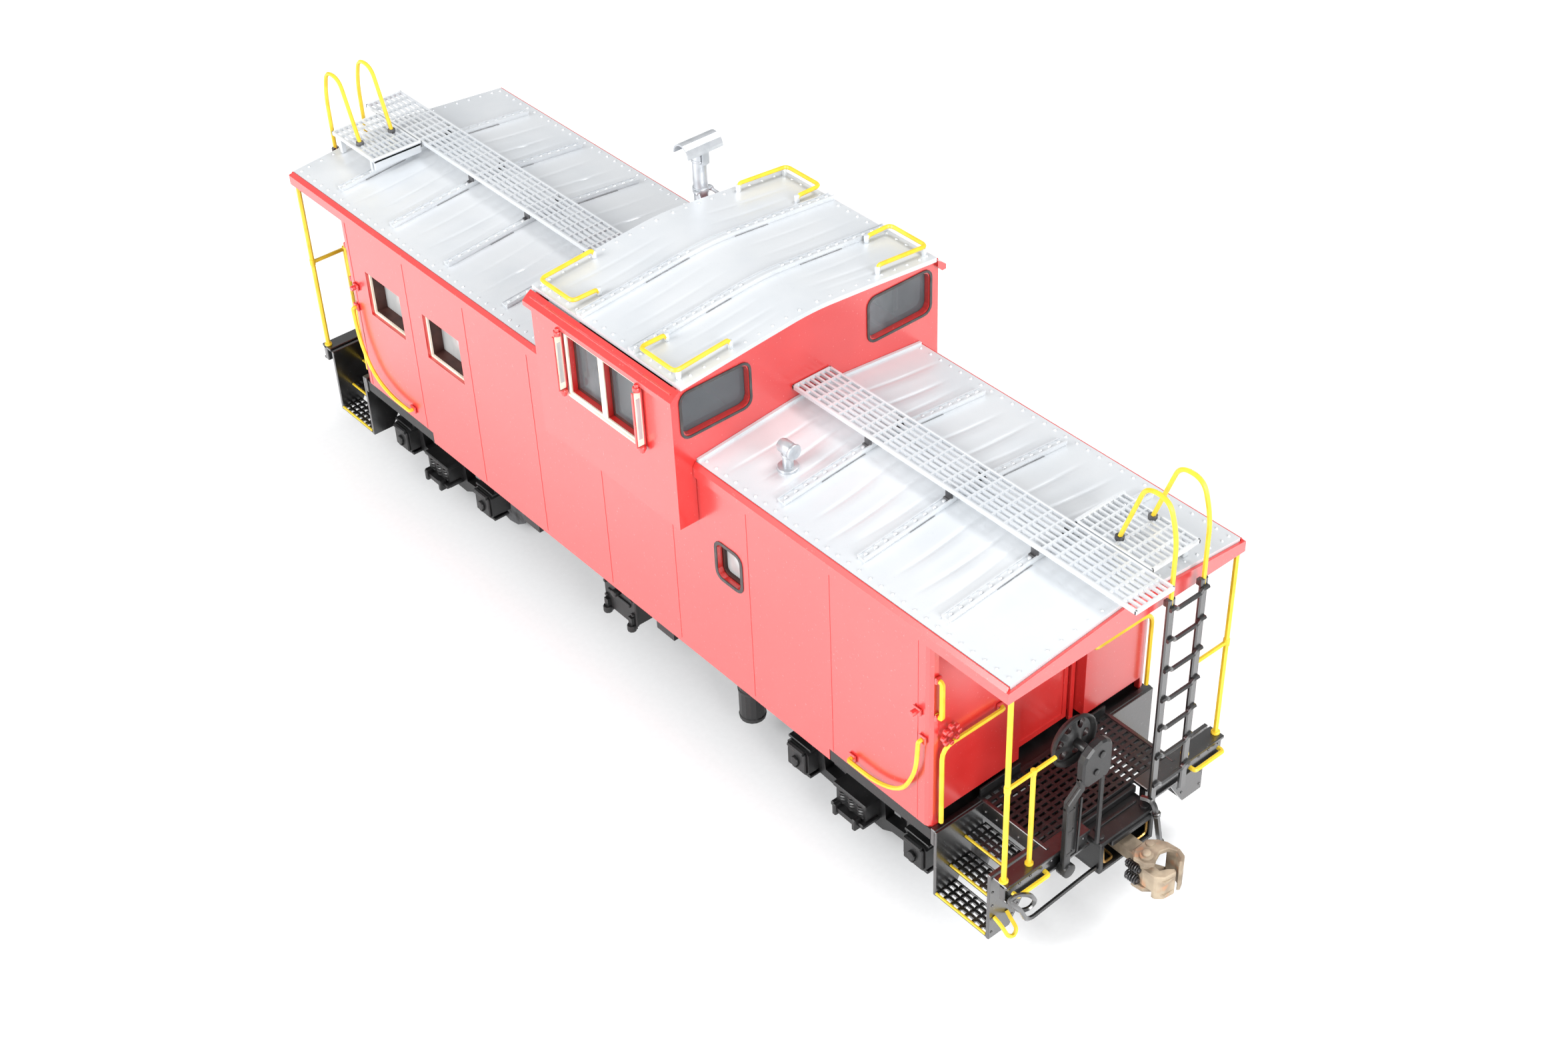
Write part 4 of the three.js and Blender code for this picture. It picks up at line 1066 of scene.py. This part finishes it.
WHEEL = (63.7, -5.8, 27.9)
DISH = ((0.0, 0.2), (0.7, 0.2), (1.0, 0.0), (1.9, -0.42), (2.55, -0.3), (2.8, 0.12), (3.0, 0.2),
        (3.12, 0.0), (3.06, -0.25), (2.85, -0.3), (2.6, -0.72), (2.0, -0.84), (1.0, -0.4),
        (0.5, -0.5), (0.0, -0.5))
dish = spun(DISH, WHEEL, "x")
holes = []
for number in range(6):
    angle = number * pi / 3 + 0.9
    spot = (WHEEL[0] - 0.4, WHEEL[1] + 1.9 * cos(angle), WHEEL[2] + 1.9 * sin(angle))
    holes.append(rod(spot, 0.55, 1.6, "x", 10, 0.0))
cutter = joined(holes)
modify(dish, "BOOLEAN", operation="DIFFERENCE", object=cutter, solver="EXACT")
bpy.data.objects.remove(cutter)
both_ends(smooth(dish, 40), "brake_wheel_dish", "black_paint", chassis_black, "brake_wheel")

FACE = 65.34
COLUMN = ((-8.75, 12.4), (-7.85, 12.4), (-7.85, 22.2), (-6.35, 23.5), (-6.35, 25.0), (-7.1, 25.0),
          (-7.1, 24.1), (-8.75, 22.7))
COVER = ((-7.1, 24.4), (-6.4, 23.6), (-3.6, 23.6), (-3.0, 24.4), (-3.0, 27.6), (-3.3, 28.3),
         (-3.9, 28.75), (-4.6, 28.9), (-5.8, 28.6), (-6.7, 27.9), (-7.1, 27.2))
gear = [sheet([(FACE, y, z) for y, z in COLUMN], 0.6, (1, 0, 0), 0.1),
        sheet([(FACE + 0.5, y - 0.2, z) for y, z in COLUMN], 0.4, (1, 0, 0), 0.1),
        block((FACE, -7.6, 14.2), (FACE + 0.35, -6.7, 22.6), 0.1),
        sheet([(FACE - 0.08, y, z) for y, z in COVER], 1.1, (1, 0, 0), 0.22),
        rod((FACE + 0.5, -8.3, 13.0), 0.85, 1.3, "x", 14, 0.15),
        rod((FACE + 1.1, -4.6, 27.2), 0.42, 0.16, "x", 10, 0.04),
        rod((FACE + 1.1, -5.3, 25.2), 0.36, 0.16, "x", 10, 0.04),
        rod((64.6, -5.8, 27.9), 0.5, 1.5, "x", 10, 0.06),
        wire([(FACE + 0.8, -4.1, 14.1), (FACE + 0.8, -4.1, 23.9)], 0.28),
        wire([(FACE + 0.6, -6.9, 14.6), (FACE + 0.6, -6.7, 22.4)], 0.16)]
gear += [block((FACE - 0.02, -8.75, z), (FACE + 0.95, -7.85, z + 0.5), 0.08)
         for z in (15.2, 18.4, 21.4)]
both_ends(joined(gear), "brake_gear", "black_paint", chassis_black, "brake_stand")

# %% [markdown]
# ## Coupler pocket
# The draft box is a folded cover over the coupler's shank, with flanged lips at its mouth, a
# raised rib and two screws on its lid. A brass leaf spring shows in the mouth on either side.
# Beside it hang the cut lever, one long bent wire with an eye in it, and the stiff air hose.

# %% Draft box, lever and hose
pocket = [block((57.6, -4.05, 13.4), (66.7, 4.05, 14.0), 0.12),
          block((57.6, -4.05, 9.5), (66.7, 4.05, 10.1), 0.12),
          block((57.6, -4.05, 9.8), (66.7, -3.45, 13.7), 0.1),
          block((57.6, 3.45, 9.8), (66.7, 4.05, 13.7), 0.1),
          block((57.6, -3.6, 9.8), (58.2, 3.6, 13.7), 0.1),
          block((64.6, -3.1, 13.95), (64.95, 3.1, 14.22), 0.08),
          block((63.34, -4.15, 14.0), (63.9, 4.15, 14.9), 0.1),
          block((66.4, -2.6, 12.9), (66.95, 3.4, 13.6), 0.12),
          rod((60.4, 0.0, 11.75), 0.8, 3.6), block((57.7, -2.3, 13.9), (63.1, 2.3, 14.64), 0.05)]
pocket += [rod((65.8, side * 3.3, 14.05), 0.5, 0.3, sides=10) for side in (-1, 1)]
both_ends(joined(pocket), "coupler_pocket", "black_paint", chassis_black, "draft_box")
brass = enamel("spring_brass", colour(196, 158, 92), colour(160, 120, 70), colour(90, 60, 40), 0.3,
               0.006, cloud=1.2, specks=0.3, metallic=0.85)
leaves = [wire([(66.3, side * 3.3, 12.6), (66.4, side * 3.2, 10.5), (66.3, side * 1.6, 10.27),
                (62.0, side * 1.4, 10.27)], 0.16, 0.5) for side in (-1, 1)]
both_ends(joined(leaves), "coupler_spring", "rust_paint", brass)

LEVER_X = 66.2
lever = [wire([(LEVER_X, -4.1, 10.3), (LEVER_X, -5.2, 10.3), (LEVER_X + 0.2, -13.6, 10.0),
               (LEVER_X + 0.2, -14.4, 10.4), (LEVER_X + 0.1, -15.2, 12.4), (LEVER_X, -16.0, 13.5),
               (LEVER_X - 0.3, -16.6, 14.4), (LEVER_X, -15.6, 14.8), (LEVER_X + 0.2, -13.9, 13.7),
               (LEVER_X + 0.3, -13.2, 12.4), (LEVER_X + 0.2, -13.9, 11.7), (LEVER_X, -15.2, 12.0),
               (SILL_X - 0.2, -15.7, 13.2)], 0.26, 0.6),
         block((SILL_X - 0.02, -16.0, 12.6), (SILL_X + 0.6, -15.3, 13.8), 0.1)]
both_ends(joined(lever), "cut_lever", "black_paint", black_paint, "uncoupling_lever")
hose = wire([(65.3, 3.4, 14.7), (66.6, 3.6, 15.1), (67.3, 3.5, 14.0), (67.7, 3.6, 11.6),
             (68.0, 3.8, 9.4)], 0.34, 0.8, 5)
cuffs = [rod((67.35, 3.5, 13.8), 0.46, 0.5, sides=10),
         rod((67.95, 3.77, 9.8), 0.44, 0.7, sides=10)]
both_ends(joined([hose] + cuffs), "air_hose", "black_paint", black_paint)

# %% [markdown]
# A coupler is two castings: the head on its shank, and the knuckle that opens about the pin.
# Each rides on its own body, so that the knuckle can swing while the head stays. Both are
# stacks of thick sheets cut to an outline seen from above, round a pin. The knuckle's coil
# springs sit beside the head and stay with it.


# %% Coupler and knuckle
def coil(centre, radius, length, turns, gauge, axis="z"):
    """A helix of wire about an axis, starting at the centre of its foot."""
    route = []
    for step in range(turns * 8 + 1):
        angle = step * pi / 4
        u, v, h = radius * cos(angle), radius * sin(angle), length * step / (turns * 8)
        route.append({"z": (u, v, h), "x": (h, u, v), "y": (u, h, v)}[axis])
    return wire([Vector(centre) + Vector(point) for point in route], gauge, 0.05, 1)


PIN = (70.1, -0.9)
HEAD = ((68.6, -1.0), (69.3, -2.0), (70.7, -1.85), (71.4, -1.1), (71.0, -0.4), (70.6, 0.6),
        (70.9, 1.6), (71.7, 1.95), (72.5, 1.6), (72.9, 0.9), (73.15, 1.2), (72.7, 2.05),
        (71.7, 2.4), (70.2, 2.2), (69.3, 1.75), (68.5, 0.9))
CORE = ((68.3, -1.1), (69.1, -1.2), (69.2, 1.5), (68.3, 1.1))
ARM = ((70.6, 1.7), (71.7, 1.95), (72.5, 1.6), (72.9, 0.9), (73.15, 1.2), (72.7, 2.05),
       (71.7, 2.4), (70.2, 2.2))
CLAW = ((69.5, -1.4), (70.5, -1.7), (72.0, -1.6), (72.75, -0.9), (72.95, 0.6), (72.5, 0.85),
        (72.0, 0.3), (71.6, -0.45), (70.6, -0.3), (69.6, -0.3))
JAW = ((71.6, -1.55), (72.1, -1.55), (72.75, -0.9), (72.97, 0.6), (72.5, 0.87), (72.0, 0.3),
       (71.62, -0.5))


def plan(points, z):
    return [(x, y, z) for x, y in points]


head = [sheet(plan(HEAD, 12.3), 0.6, (0, 0, 1), 0.1), sheet(plan(HEAD, 8.6), 0.6, (0, 0, 1), 0.1),
        sheet(plan(CORE, 9.0), 3.5, (0, 0, 1), 0.1), sheet(plan(ARM, 9.1), 3.3, (0, 0, 1), 0.08),
        block((62.0, -1.05, 10.5), (68.6, 1.05, 11.9), 0.15),
        spun(((0.95, -0.66), (1.8, -0.66), (1.85, 0.0), (1.8, 0.66), (0.95, 0.66), (0.95, -0.66)),
             (60.4, 0.0, 11.2), "z", 20),
        rod((*PIN, 13.0), 0.74, 0.4, edge=0.08), rod((*PIN, 13.3), 0.46, 0.5, edge=0.12),
        rod((69.2, 0.6, 12.95), 0.45, 0.3, sides=10)]
both_ends(joined(head), "coupler_head", "rust_paint", rust_paint, "coupler", "coupler")
claw = [sheet(plan(CLAW, 9.35), 2.35, (0, 0, 1), 0.1),
        sheet(plan(JAW, 8.4), 3.32, (0, 0, 1), 0.12),
        rod((*PIN, 10.6), 0.72, 2.7, edge=0.05),
        block((72.0, -1.1, 9.0), (72.98, 0.5, 9.25), 0.05),
        block((72.0, -1.1, 11.0), (72.98, 0.5, 11.2), 0.05)]
both_ends(joined(claw), "knuckle_claw", "rust_paint", rust_paint, "knuckle", "knuckle")
spring = [coil((68.4, -1.75, 11.3), 0.42, 1.7, 6, 0.09, "x"),
          rod((69.2, -1.75, 11.3), 0.24, 2.0, "x", 8, 0.05),
          coil((68.6, -1.9, 9.9), 0.5, 1.5, 5, 0.1, "x"),
          rod((69.3, -1.9, 9.9), 0.28, 1.7, "x", 8, 0.05)]
both_ends(joined(spring), "knuckle_spring", "wheel_steel", steel, body="coupler")

# %% [markdown]
# ## Grab irons and railings
# The remaining wires are yellow. Each one is bent from thinner stock than the CAD solid it
# stands for, with small flanges where it meets the deck, the wall or the roof.

# %% Grab irons and railings
for word, side, short, reach in (("brake", -1, 12.2, 9.2), ("ladder", 1, 10.9, 10.9)):
    y, out = side * 15.75, side * (WALL_Y + 0.75)
    posts = [wire([(64.4, y, DECK_Z + 0.1), (64.4, y, 40.25)], 0.3),
             wire([(64.4, y, 28.4), (64.4, side * reach, 28.4)], 0.26),
             wire([(64.4, side * short, 28.4), (64.4, side * short, DECK_Z + 0.1)], 0.28),
             rod((64.4, y, 28.4), 0.37, 0.9, sides=10),
             rod((64.4, side * short, 28.4), 0.34, 0.7, sides=10),
             rod((64.4, y, DECK_Z + 0.2), 0.5, 0.3),
             rod((64.4, side * short, DECK_Z + 0.2), 0.46, 0.3)]
    both_ends(joined(posts), "corner_rail_" + word, "yellow_paint", yellow_paint,
              "railing_" + word + "_side")
    wall = wire([(54.14, side * 6.7, 26.6), (54.85, side * 6.7, 26.6), (54.85, side * 15.3, 26.6),
                 (54.85, side * 15.3, 16.1)], 0.27, 1.6)
    both_ends(wall, "wall_grab_" + word, "yellow_paint", yellow_paint,
              "end_grab_" + word + "_side")
    foot = side * (WALL_Y + 0.3)
    curve = wire([(53.0, foot, 27.2), (53.0, out, 27.2), (52.7, out, 22.8), (50.6, out, 18.4),
                  (46.6, out, 16.7), (42.3, out, 16.7), (42.3, foot, 16.7)], 0.25, 2.4, 5)
    both_ends(curve, "step_grab_" + word, "yellow_paint", yellow_paint,
              "side_grab_" + word + "_side")

for word, side in (("left", 1), ("right", -1)):
    for end, turn in (("a", 1), ("b", -1)):
        at = [5.52 + turn * (x - 5.52) for x in (11.4, 17.3)]
        low = roof_top.height(13.9) + 0.25
        route = ((at[0], 13.9, low), (at[0], 14.2, 53.9), (at[0], 17.4, 53.9),
                 (at[1], 17.4, 53.9), (at[1], 10.4, 54.5), (at[1], 10.2, 53.9))
        bar = wire([(x, side * y, z) for x, y, z in route], 0.25, 0.7)
        corner = "_" + word + "_" + end
        dress(bar, "roof_grab" + corner, "car", "yellow_paint", yellow_paint,
              "cupola_grab" + corner)
        feet = [rod((x, side * y, roof_top.height(y) + 0.45), 0.3, 0.9, sides=8)
                for x, y in ((at[0], 13.9), (at[1], 17.0), (at[1], 10.2))]
        dress(joined(feet), "roof_grab_feet" + corner, "car", "silver_paint", silver_paint)

# %% [markdown]
# ## Side seams
# The side is made from panels, and a thin line of filler shows where two of them meet. The
# lines stop short under the cupola, and start higher beside the steps.

# %% Side seams
seams = []
for number in range(9):
    x = 52.1 - 13.1 * number
    under_cupola, beside_steps = -6.8 < x < 17.8, abs(x) >= 38.4
    top = 34.1 if under_cupola else 40.2
    foot = 15.15 if beside_steps else 14.0
    seams.append(block((x - 0.07, -WALL_Y - 0.05, foot), (x + 0.07, -WALL_Y + 0.02, top), 0.02))
both_sides(joined(seams), "panel_seams", "red_paint", red_paint)

# %% [markdown]
# Under the roof's edge runs a small red strip. Between it and the roof lies a darker red strip,
# painted shadow for the shade in the gap; it is what separates the silver from the red when
# the model is seen from above.

# %% Roof edge strips
# A darker red for the painted shadow in the gap under the roof's edge.
painted_shadow_red = enamel("red_painted_shadow", colour(120, 26, 24), colour(140, 34, 30),
                  colour(170, 70, 62), 0.6, 0.006, cloud=0.6, specks=0.2)
STRIP_X = ((-64.5, -7.0), (18.0, 64.5))
for word, material, low, high in (("strip", red_paint, (16.2, 40.9), (16.47, 41.45)),
                                  ("shadow", painted_shadow_red, (15.99, 41.0), (16.23, 41.5))):
    edges = [block((x0, -high[0], low[1]), (x1, -low[0], high[1]), 0.06) for x0, x1 in STRIP_X]
    both_sides(joined(edges), "roof_edge_" + word, "red_paint", material)

# %% [markdown]
# ## Roof fittings
# The vent is a short barrel on a stem. The smokejack is a pipe with a half-round hood that
# keeps the rain out, held by a collar and two stays to the cupola wall.

# %% Vent and smokejack
VENT = (25.9, -10.1)
base = roof_a.height(VENT[1])
vent = [rod((*VENT, base + 0.12), 1.2, 0.5, edge=0.12), rod((*VENT, base + 1.1), 0.6, 2.0),
        rod((*VENT, base + 2.6), 0.8, 2.2, "x", 16, 0.35),
        rod((*VENT, base + 1.75), 0.72, 0.4, edge=0.1),
        rod((VENT[0] + 1.0, VENT[1], base + 2.6), 0.92, 0.35, "x", 16, 0.1)]
dress(joined(vent), "vent_barrel", "car", "silver_paint", silver_darkened_for_shade, "roof_vent")

JACK_X, JACK_Y = JACK = (-9.6, 7.4)
HOOD_Z, PIPE_TOP, STAY_Z = 58.75, 59.3, 53.6
arch = [(JACK_X + r * cos(pi * n / 12), 4.9, HOOD_Z + r * sin(pi * n / 12))
        for r, order in ((1.42, range(13)), (1.22, range(12, -1, -1))) for n in order]
foot = roof_b.height(JACK_Y)
jack = [sheet(arch, 5.0, (0, 1, 0)),
        rod((*JACK, (foot + PIPE_TOP) / 2), 0.85, PIPE_TOP - foot, sides=20),
        rod((*JACK, foot + 0.35), 1.55, 0.6, edge=0.12),
        rod((*JACK, foot + 0.9), 1.1, 0.6, edge=0.15),
        rod((*JACK, STAY_Z), 0.98, 0.7, sides=20), rod((*JACK, 57.4), 0.95, 0.3, sides=20)]
for side in (-1, 1):
    x = JACK_X + side * 1.25
    jack.append(block((x - 0.12, JACK_Y - 0.5, 57.2), (x + 0.12, JACK_Y + 0.5, 59.2)))
    jack.append(rod((JACK_X + 0.5, JACK_Y + side * 0.95, STAY_Z), 0.32, 0.7, "x", 8))
    jack.append(wire([(JACK_X + 0.6, JACK_Y + side * 0.9, STAY_Z),
                      (-6.95, JACK_Y + side * 2.0 + 0.4, 51.9)], 0.2))
jack.append(block((JACK_X - 1.3, JACK_Y - 0.3, 57.1), (JACK_X + 1.3, JACK_Y + 0.3, 57.35)))
dress(joined(jack), "smokejack_pipe", "car", "silver_paint", silver_darkened_for_shade, "smokejack")

# %% [markdown]
# ## Trucks
# The CAD side frames get what makes them look like a truck: journal boxes with hinged lids,
# a group of coil springs over the plank, bolts, and a brake shoe hung at each wheel. One side
# of one truck is made, turned about the truck's own middle for its other side, and the whole
# truck is then turned end for end and moved along, because the far truck sits further out.

# %% Truck details
for name in ("truck_frame_a", "truck_frame_b", "underframe", "drain_pipe", "equipment_box",
             "air_reservoir"):
    bpy.data.objects[name].material_slots[0].material = chassis_black
TRUCK_A, SLIDE_B, HALF_BASE = 39.3, -3.1, 9.62
fittings = []
for inward, x in ((1, TRUCK_A - HALF_BASE), (-1, TRUCK_A + HALF_BASE)):
    fittings += [block((x - 1.5, -13.75, 3.9), (x + 1.5, -13.35, 6.9), 0.16),
                 rod((x, -13.65, 7.0), 0.36, 2.6, "x", 8, 0.1),
                 rod((x, -13.9, 5.3), 0.6, 0.4, "y", 10, 0.1),
                 block((x - 0.3, -14.1, 4.4), (x + 0.3, -13.7, 4.9)),
                 block((x - 1.9, -13.3, 3.35), (x + 1.9, -11.0, 3.75)),
                 block((x - 1.9, -13.2, 7.3), (x + 1.9, -11.0, 7.65))]
    fittings += [rod((x + side * 1.55, -12.3, 7.75), 0.3, 0.5, sides=6) for side in (-1, 1)]
    fittings.append(block((x + inward * 5.3 - 0.5, -10.3, 3.6),
                          (x + inward * 5.3 + 0.5, -7.6, 6.9), 0.2))
one_coil = coil((TRUCK_A - 1.5, -13.5, 4.7), 0.62, 2.3, 5, 0.17)
fittings += [copied(one_coil, (shift, 0.0, 0.0)) for shift in (1.5, 3.0)] + [one_coil]
fittings += [block((TRUCK_A - 2.7, -14.7, 4.2), (TRUCK_A + 2.7, -12.2, 4.75), 0.12),
             block((TRUCK_A - 2.7, -14.3, 6.95), (TRUCK_A + 2.7, -12.0, 7.5), 0.12),
             block((TRUCK_A - 1.9, -15.2, 3.7), (TRUCK_A - 1.3, -14.2, 5.3), 0.12),
             block((TRUCK_A + 1.3, -15.2, 3.7), (TRUCK_A + 1.9, -14.2, 5.3), 0.12)]
fittings += [block((x, -12.3, 8.0), (x + 5.8, -11.9, 8.4)) for x in (TRUCK_A - 9.0, TRUCK_A + 3.2)]
one_side = joined(fittings)
other_side = copied(one_side)
other_side.rotation_euler.z = pi
other_side.location.x = 2 * TRUCK_A * MM
settle(other_side)
near_truck = joined([one_side, other_side])
far_truck = half_turn(near_truck)
far_truck.location.x = SLIDE_B * MM
dress(settle(far_truck), "truck_fittings_b", "truck_b", "black_paint", chassis_black)
dress(near_truck, "truck_fittings_a", "truck_a", "black_paint", chassis_black)

# %% [markdown]
# Under the middle of the car hang the brake valve on its plate, with its bolts and bent pipes,
# and three bands go round the drain pipe.

# %% Underbody
gear = [block((-5.9, -13.75, 5.7), (0.3, -13.3, 13.2), 0.15),
        block((-5.0, -14.0, 8.4), (-0.6, -13.7, 8.9)),
        block((-5.0, -14.0, 10.4), (-0.6, -13.7, 10.9)),
        rod((-2.8, -14.2, 9.7), 0.5, 1.0, "y", 10, 0.1),
        rod((-5.2, -14.0, 5.6), 0.6, 0.9, "z", 10, 0.1),
        rod((-0.4, -14.0, 5.6), 0.6, 0.9, "z", 10, 0.1),
        wire([(-5.6, -12.5, 12.0), (-9.4, -12.8, 12.9), (-10.4, -13.0, 13.6)], 0.4, 0.8),
        wire([(0.0, -12.6, 8.6), (3.0, -12.6, 9.4), (4.6, -12.6, 13.4)], 0.35, 0.8),
        rod((6.6, -13.0, 11.4), 1.5, 2.6, "x", 14, 0.3),
        wire([(11.4, -12.6, 13.4), (11.4, -13.1, 9.8)], 0.3)]
gear += [rod((x, -13.8, z), 0.26, 0.5, "y", 6) for x in (-5.4, -0.2) for z in (7.6, 9.8, 12.2)]
gear += [rod((19.4, -11.6, z), 1.62, 0.4, sides=18, edge=0.1) for z in (4.0, 8.0, 12.6)]
dress(joined(gear), "brake_equipment", "car", "black_paint", chassis_black)

# %% [markdown]
# One rivet was only a pattern to copy from, so it goes.

# %% Put the patterns away
bpy.data.objects.remove(one_rivet)

# %% [markdown]
# The floor is a wide sheet of plain white card that curves nowhere, so nothing distracts from
# the model. It still has a faint tooth, or the soft shadows on it would look airbrushed.


# %% Floor
def card():
    material, shade = new_material("white_card")
    place = place_on_object(shade)
    tooth = noise(shade, place, 1.5, detail=3.0)
    tint = tooth.mix(colour(235, 236, 237), colour(241, 242, 243))
    normal = bump(shade, tooth, 0.01, 0.4)
    return finish_material(material, shade, {
        "Base Color": tint, "Roughness": 0.85, "Normal": normal})


bpy.ops.object.select_all(action="DESELECT")
bpy.ops.mesh.primitive_plane_add(size=4.0, location=(0.0, 0.0, -0.0001))
floor = bpy.context.active_object
floor.name = "floor"
bpy.ops.object.transform_apply(location=True, rotation=True, scale=True)
floor.data.materials.append(card())

# %% [markdown]
# The light is a tent: two soft panels of nearly the same strength to the left and the right
# of the camera, a weaker one above and behind the model, and an even white background that
# the paint can reflect.

# %% Light
world = bpy.data.worlds.new("tent")
bpy.context.scene.world = world
world.use_nodes = True
world.node_tree.nodes["Background"].inputs["Color"].default_value = (1.0, 1.0, 1.0, 1.0)
world.node_tree.nodes["Background"].inputs["Strength"].default_value = 0.46


def soft_light(name, place, power, size):
    bpy.ops.object.light_add(type="AREA", location=place)
    light = bpy.context.active_object
    light.name = name
    light.data.energy = power
    light.data.size = size
    aim = Vector((0.0, 0.0, 0.03)) - Vector(place)
    light.rotation_euler = aim.to_track_quat("-Z", "Y").to_euler()
    print("light", name, power, "W")


soft_light("left_panel", (-0.12, -0.76, 0.42), 9.2, 0.5)
soft_light("right_panel", (0.85, -0.1, 0.36), 9.0, 0.5)
soft_light("top_panel", (0.1, 0.35, 0.8), 4.4, 0.3)

# %% Finish
print("all pieces dressed")
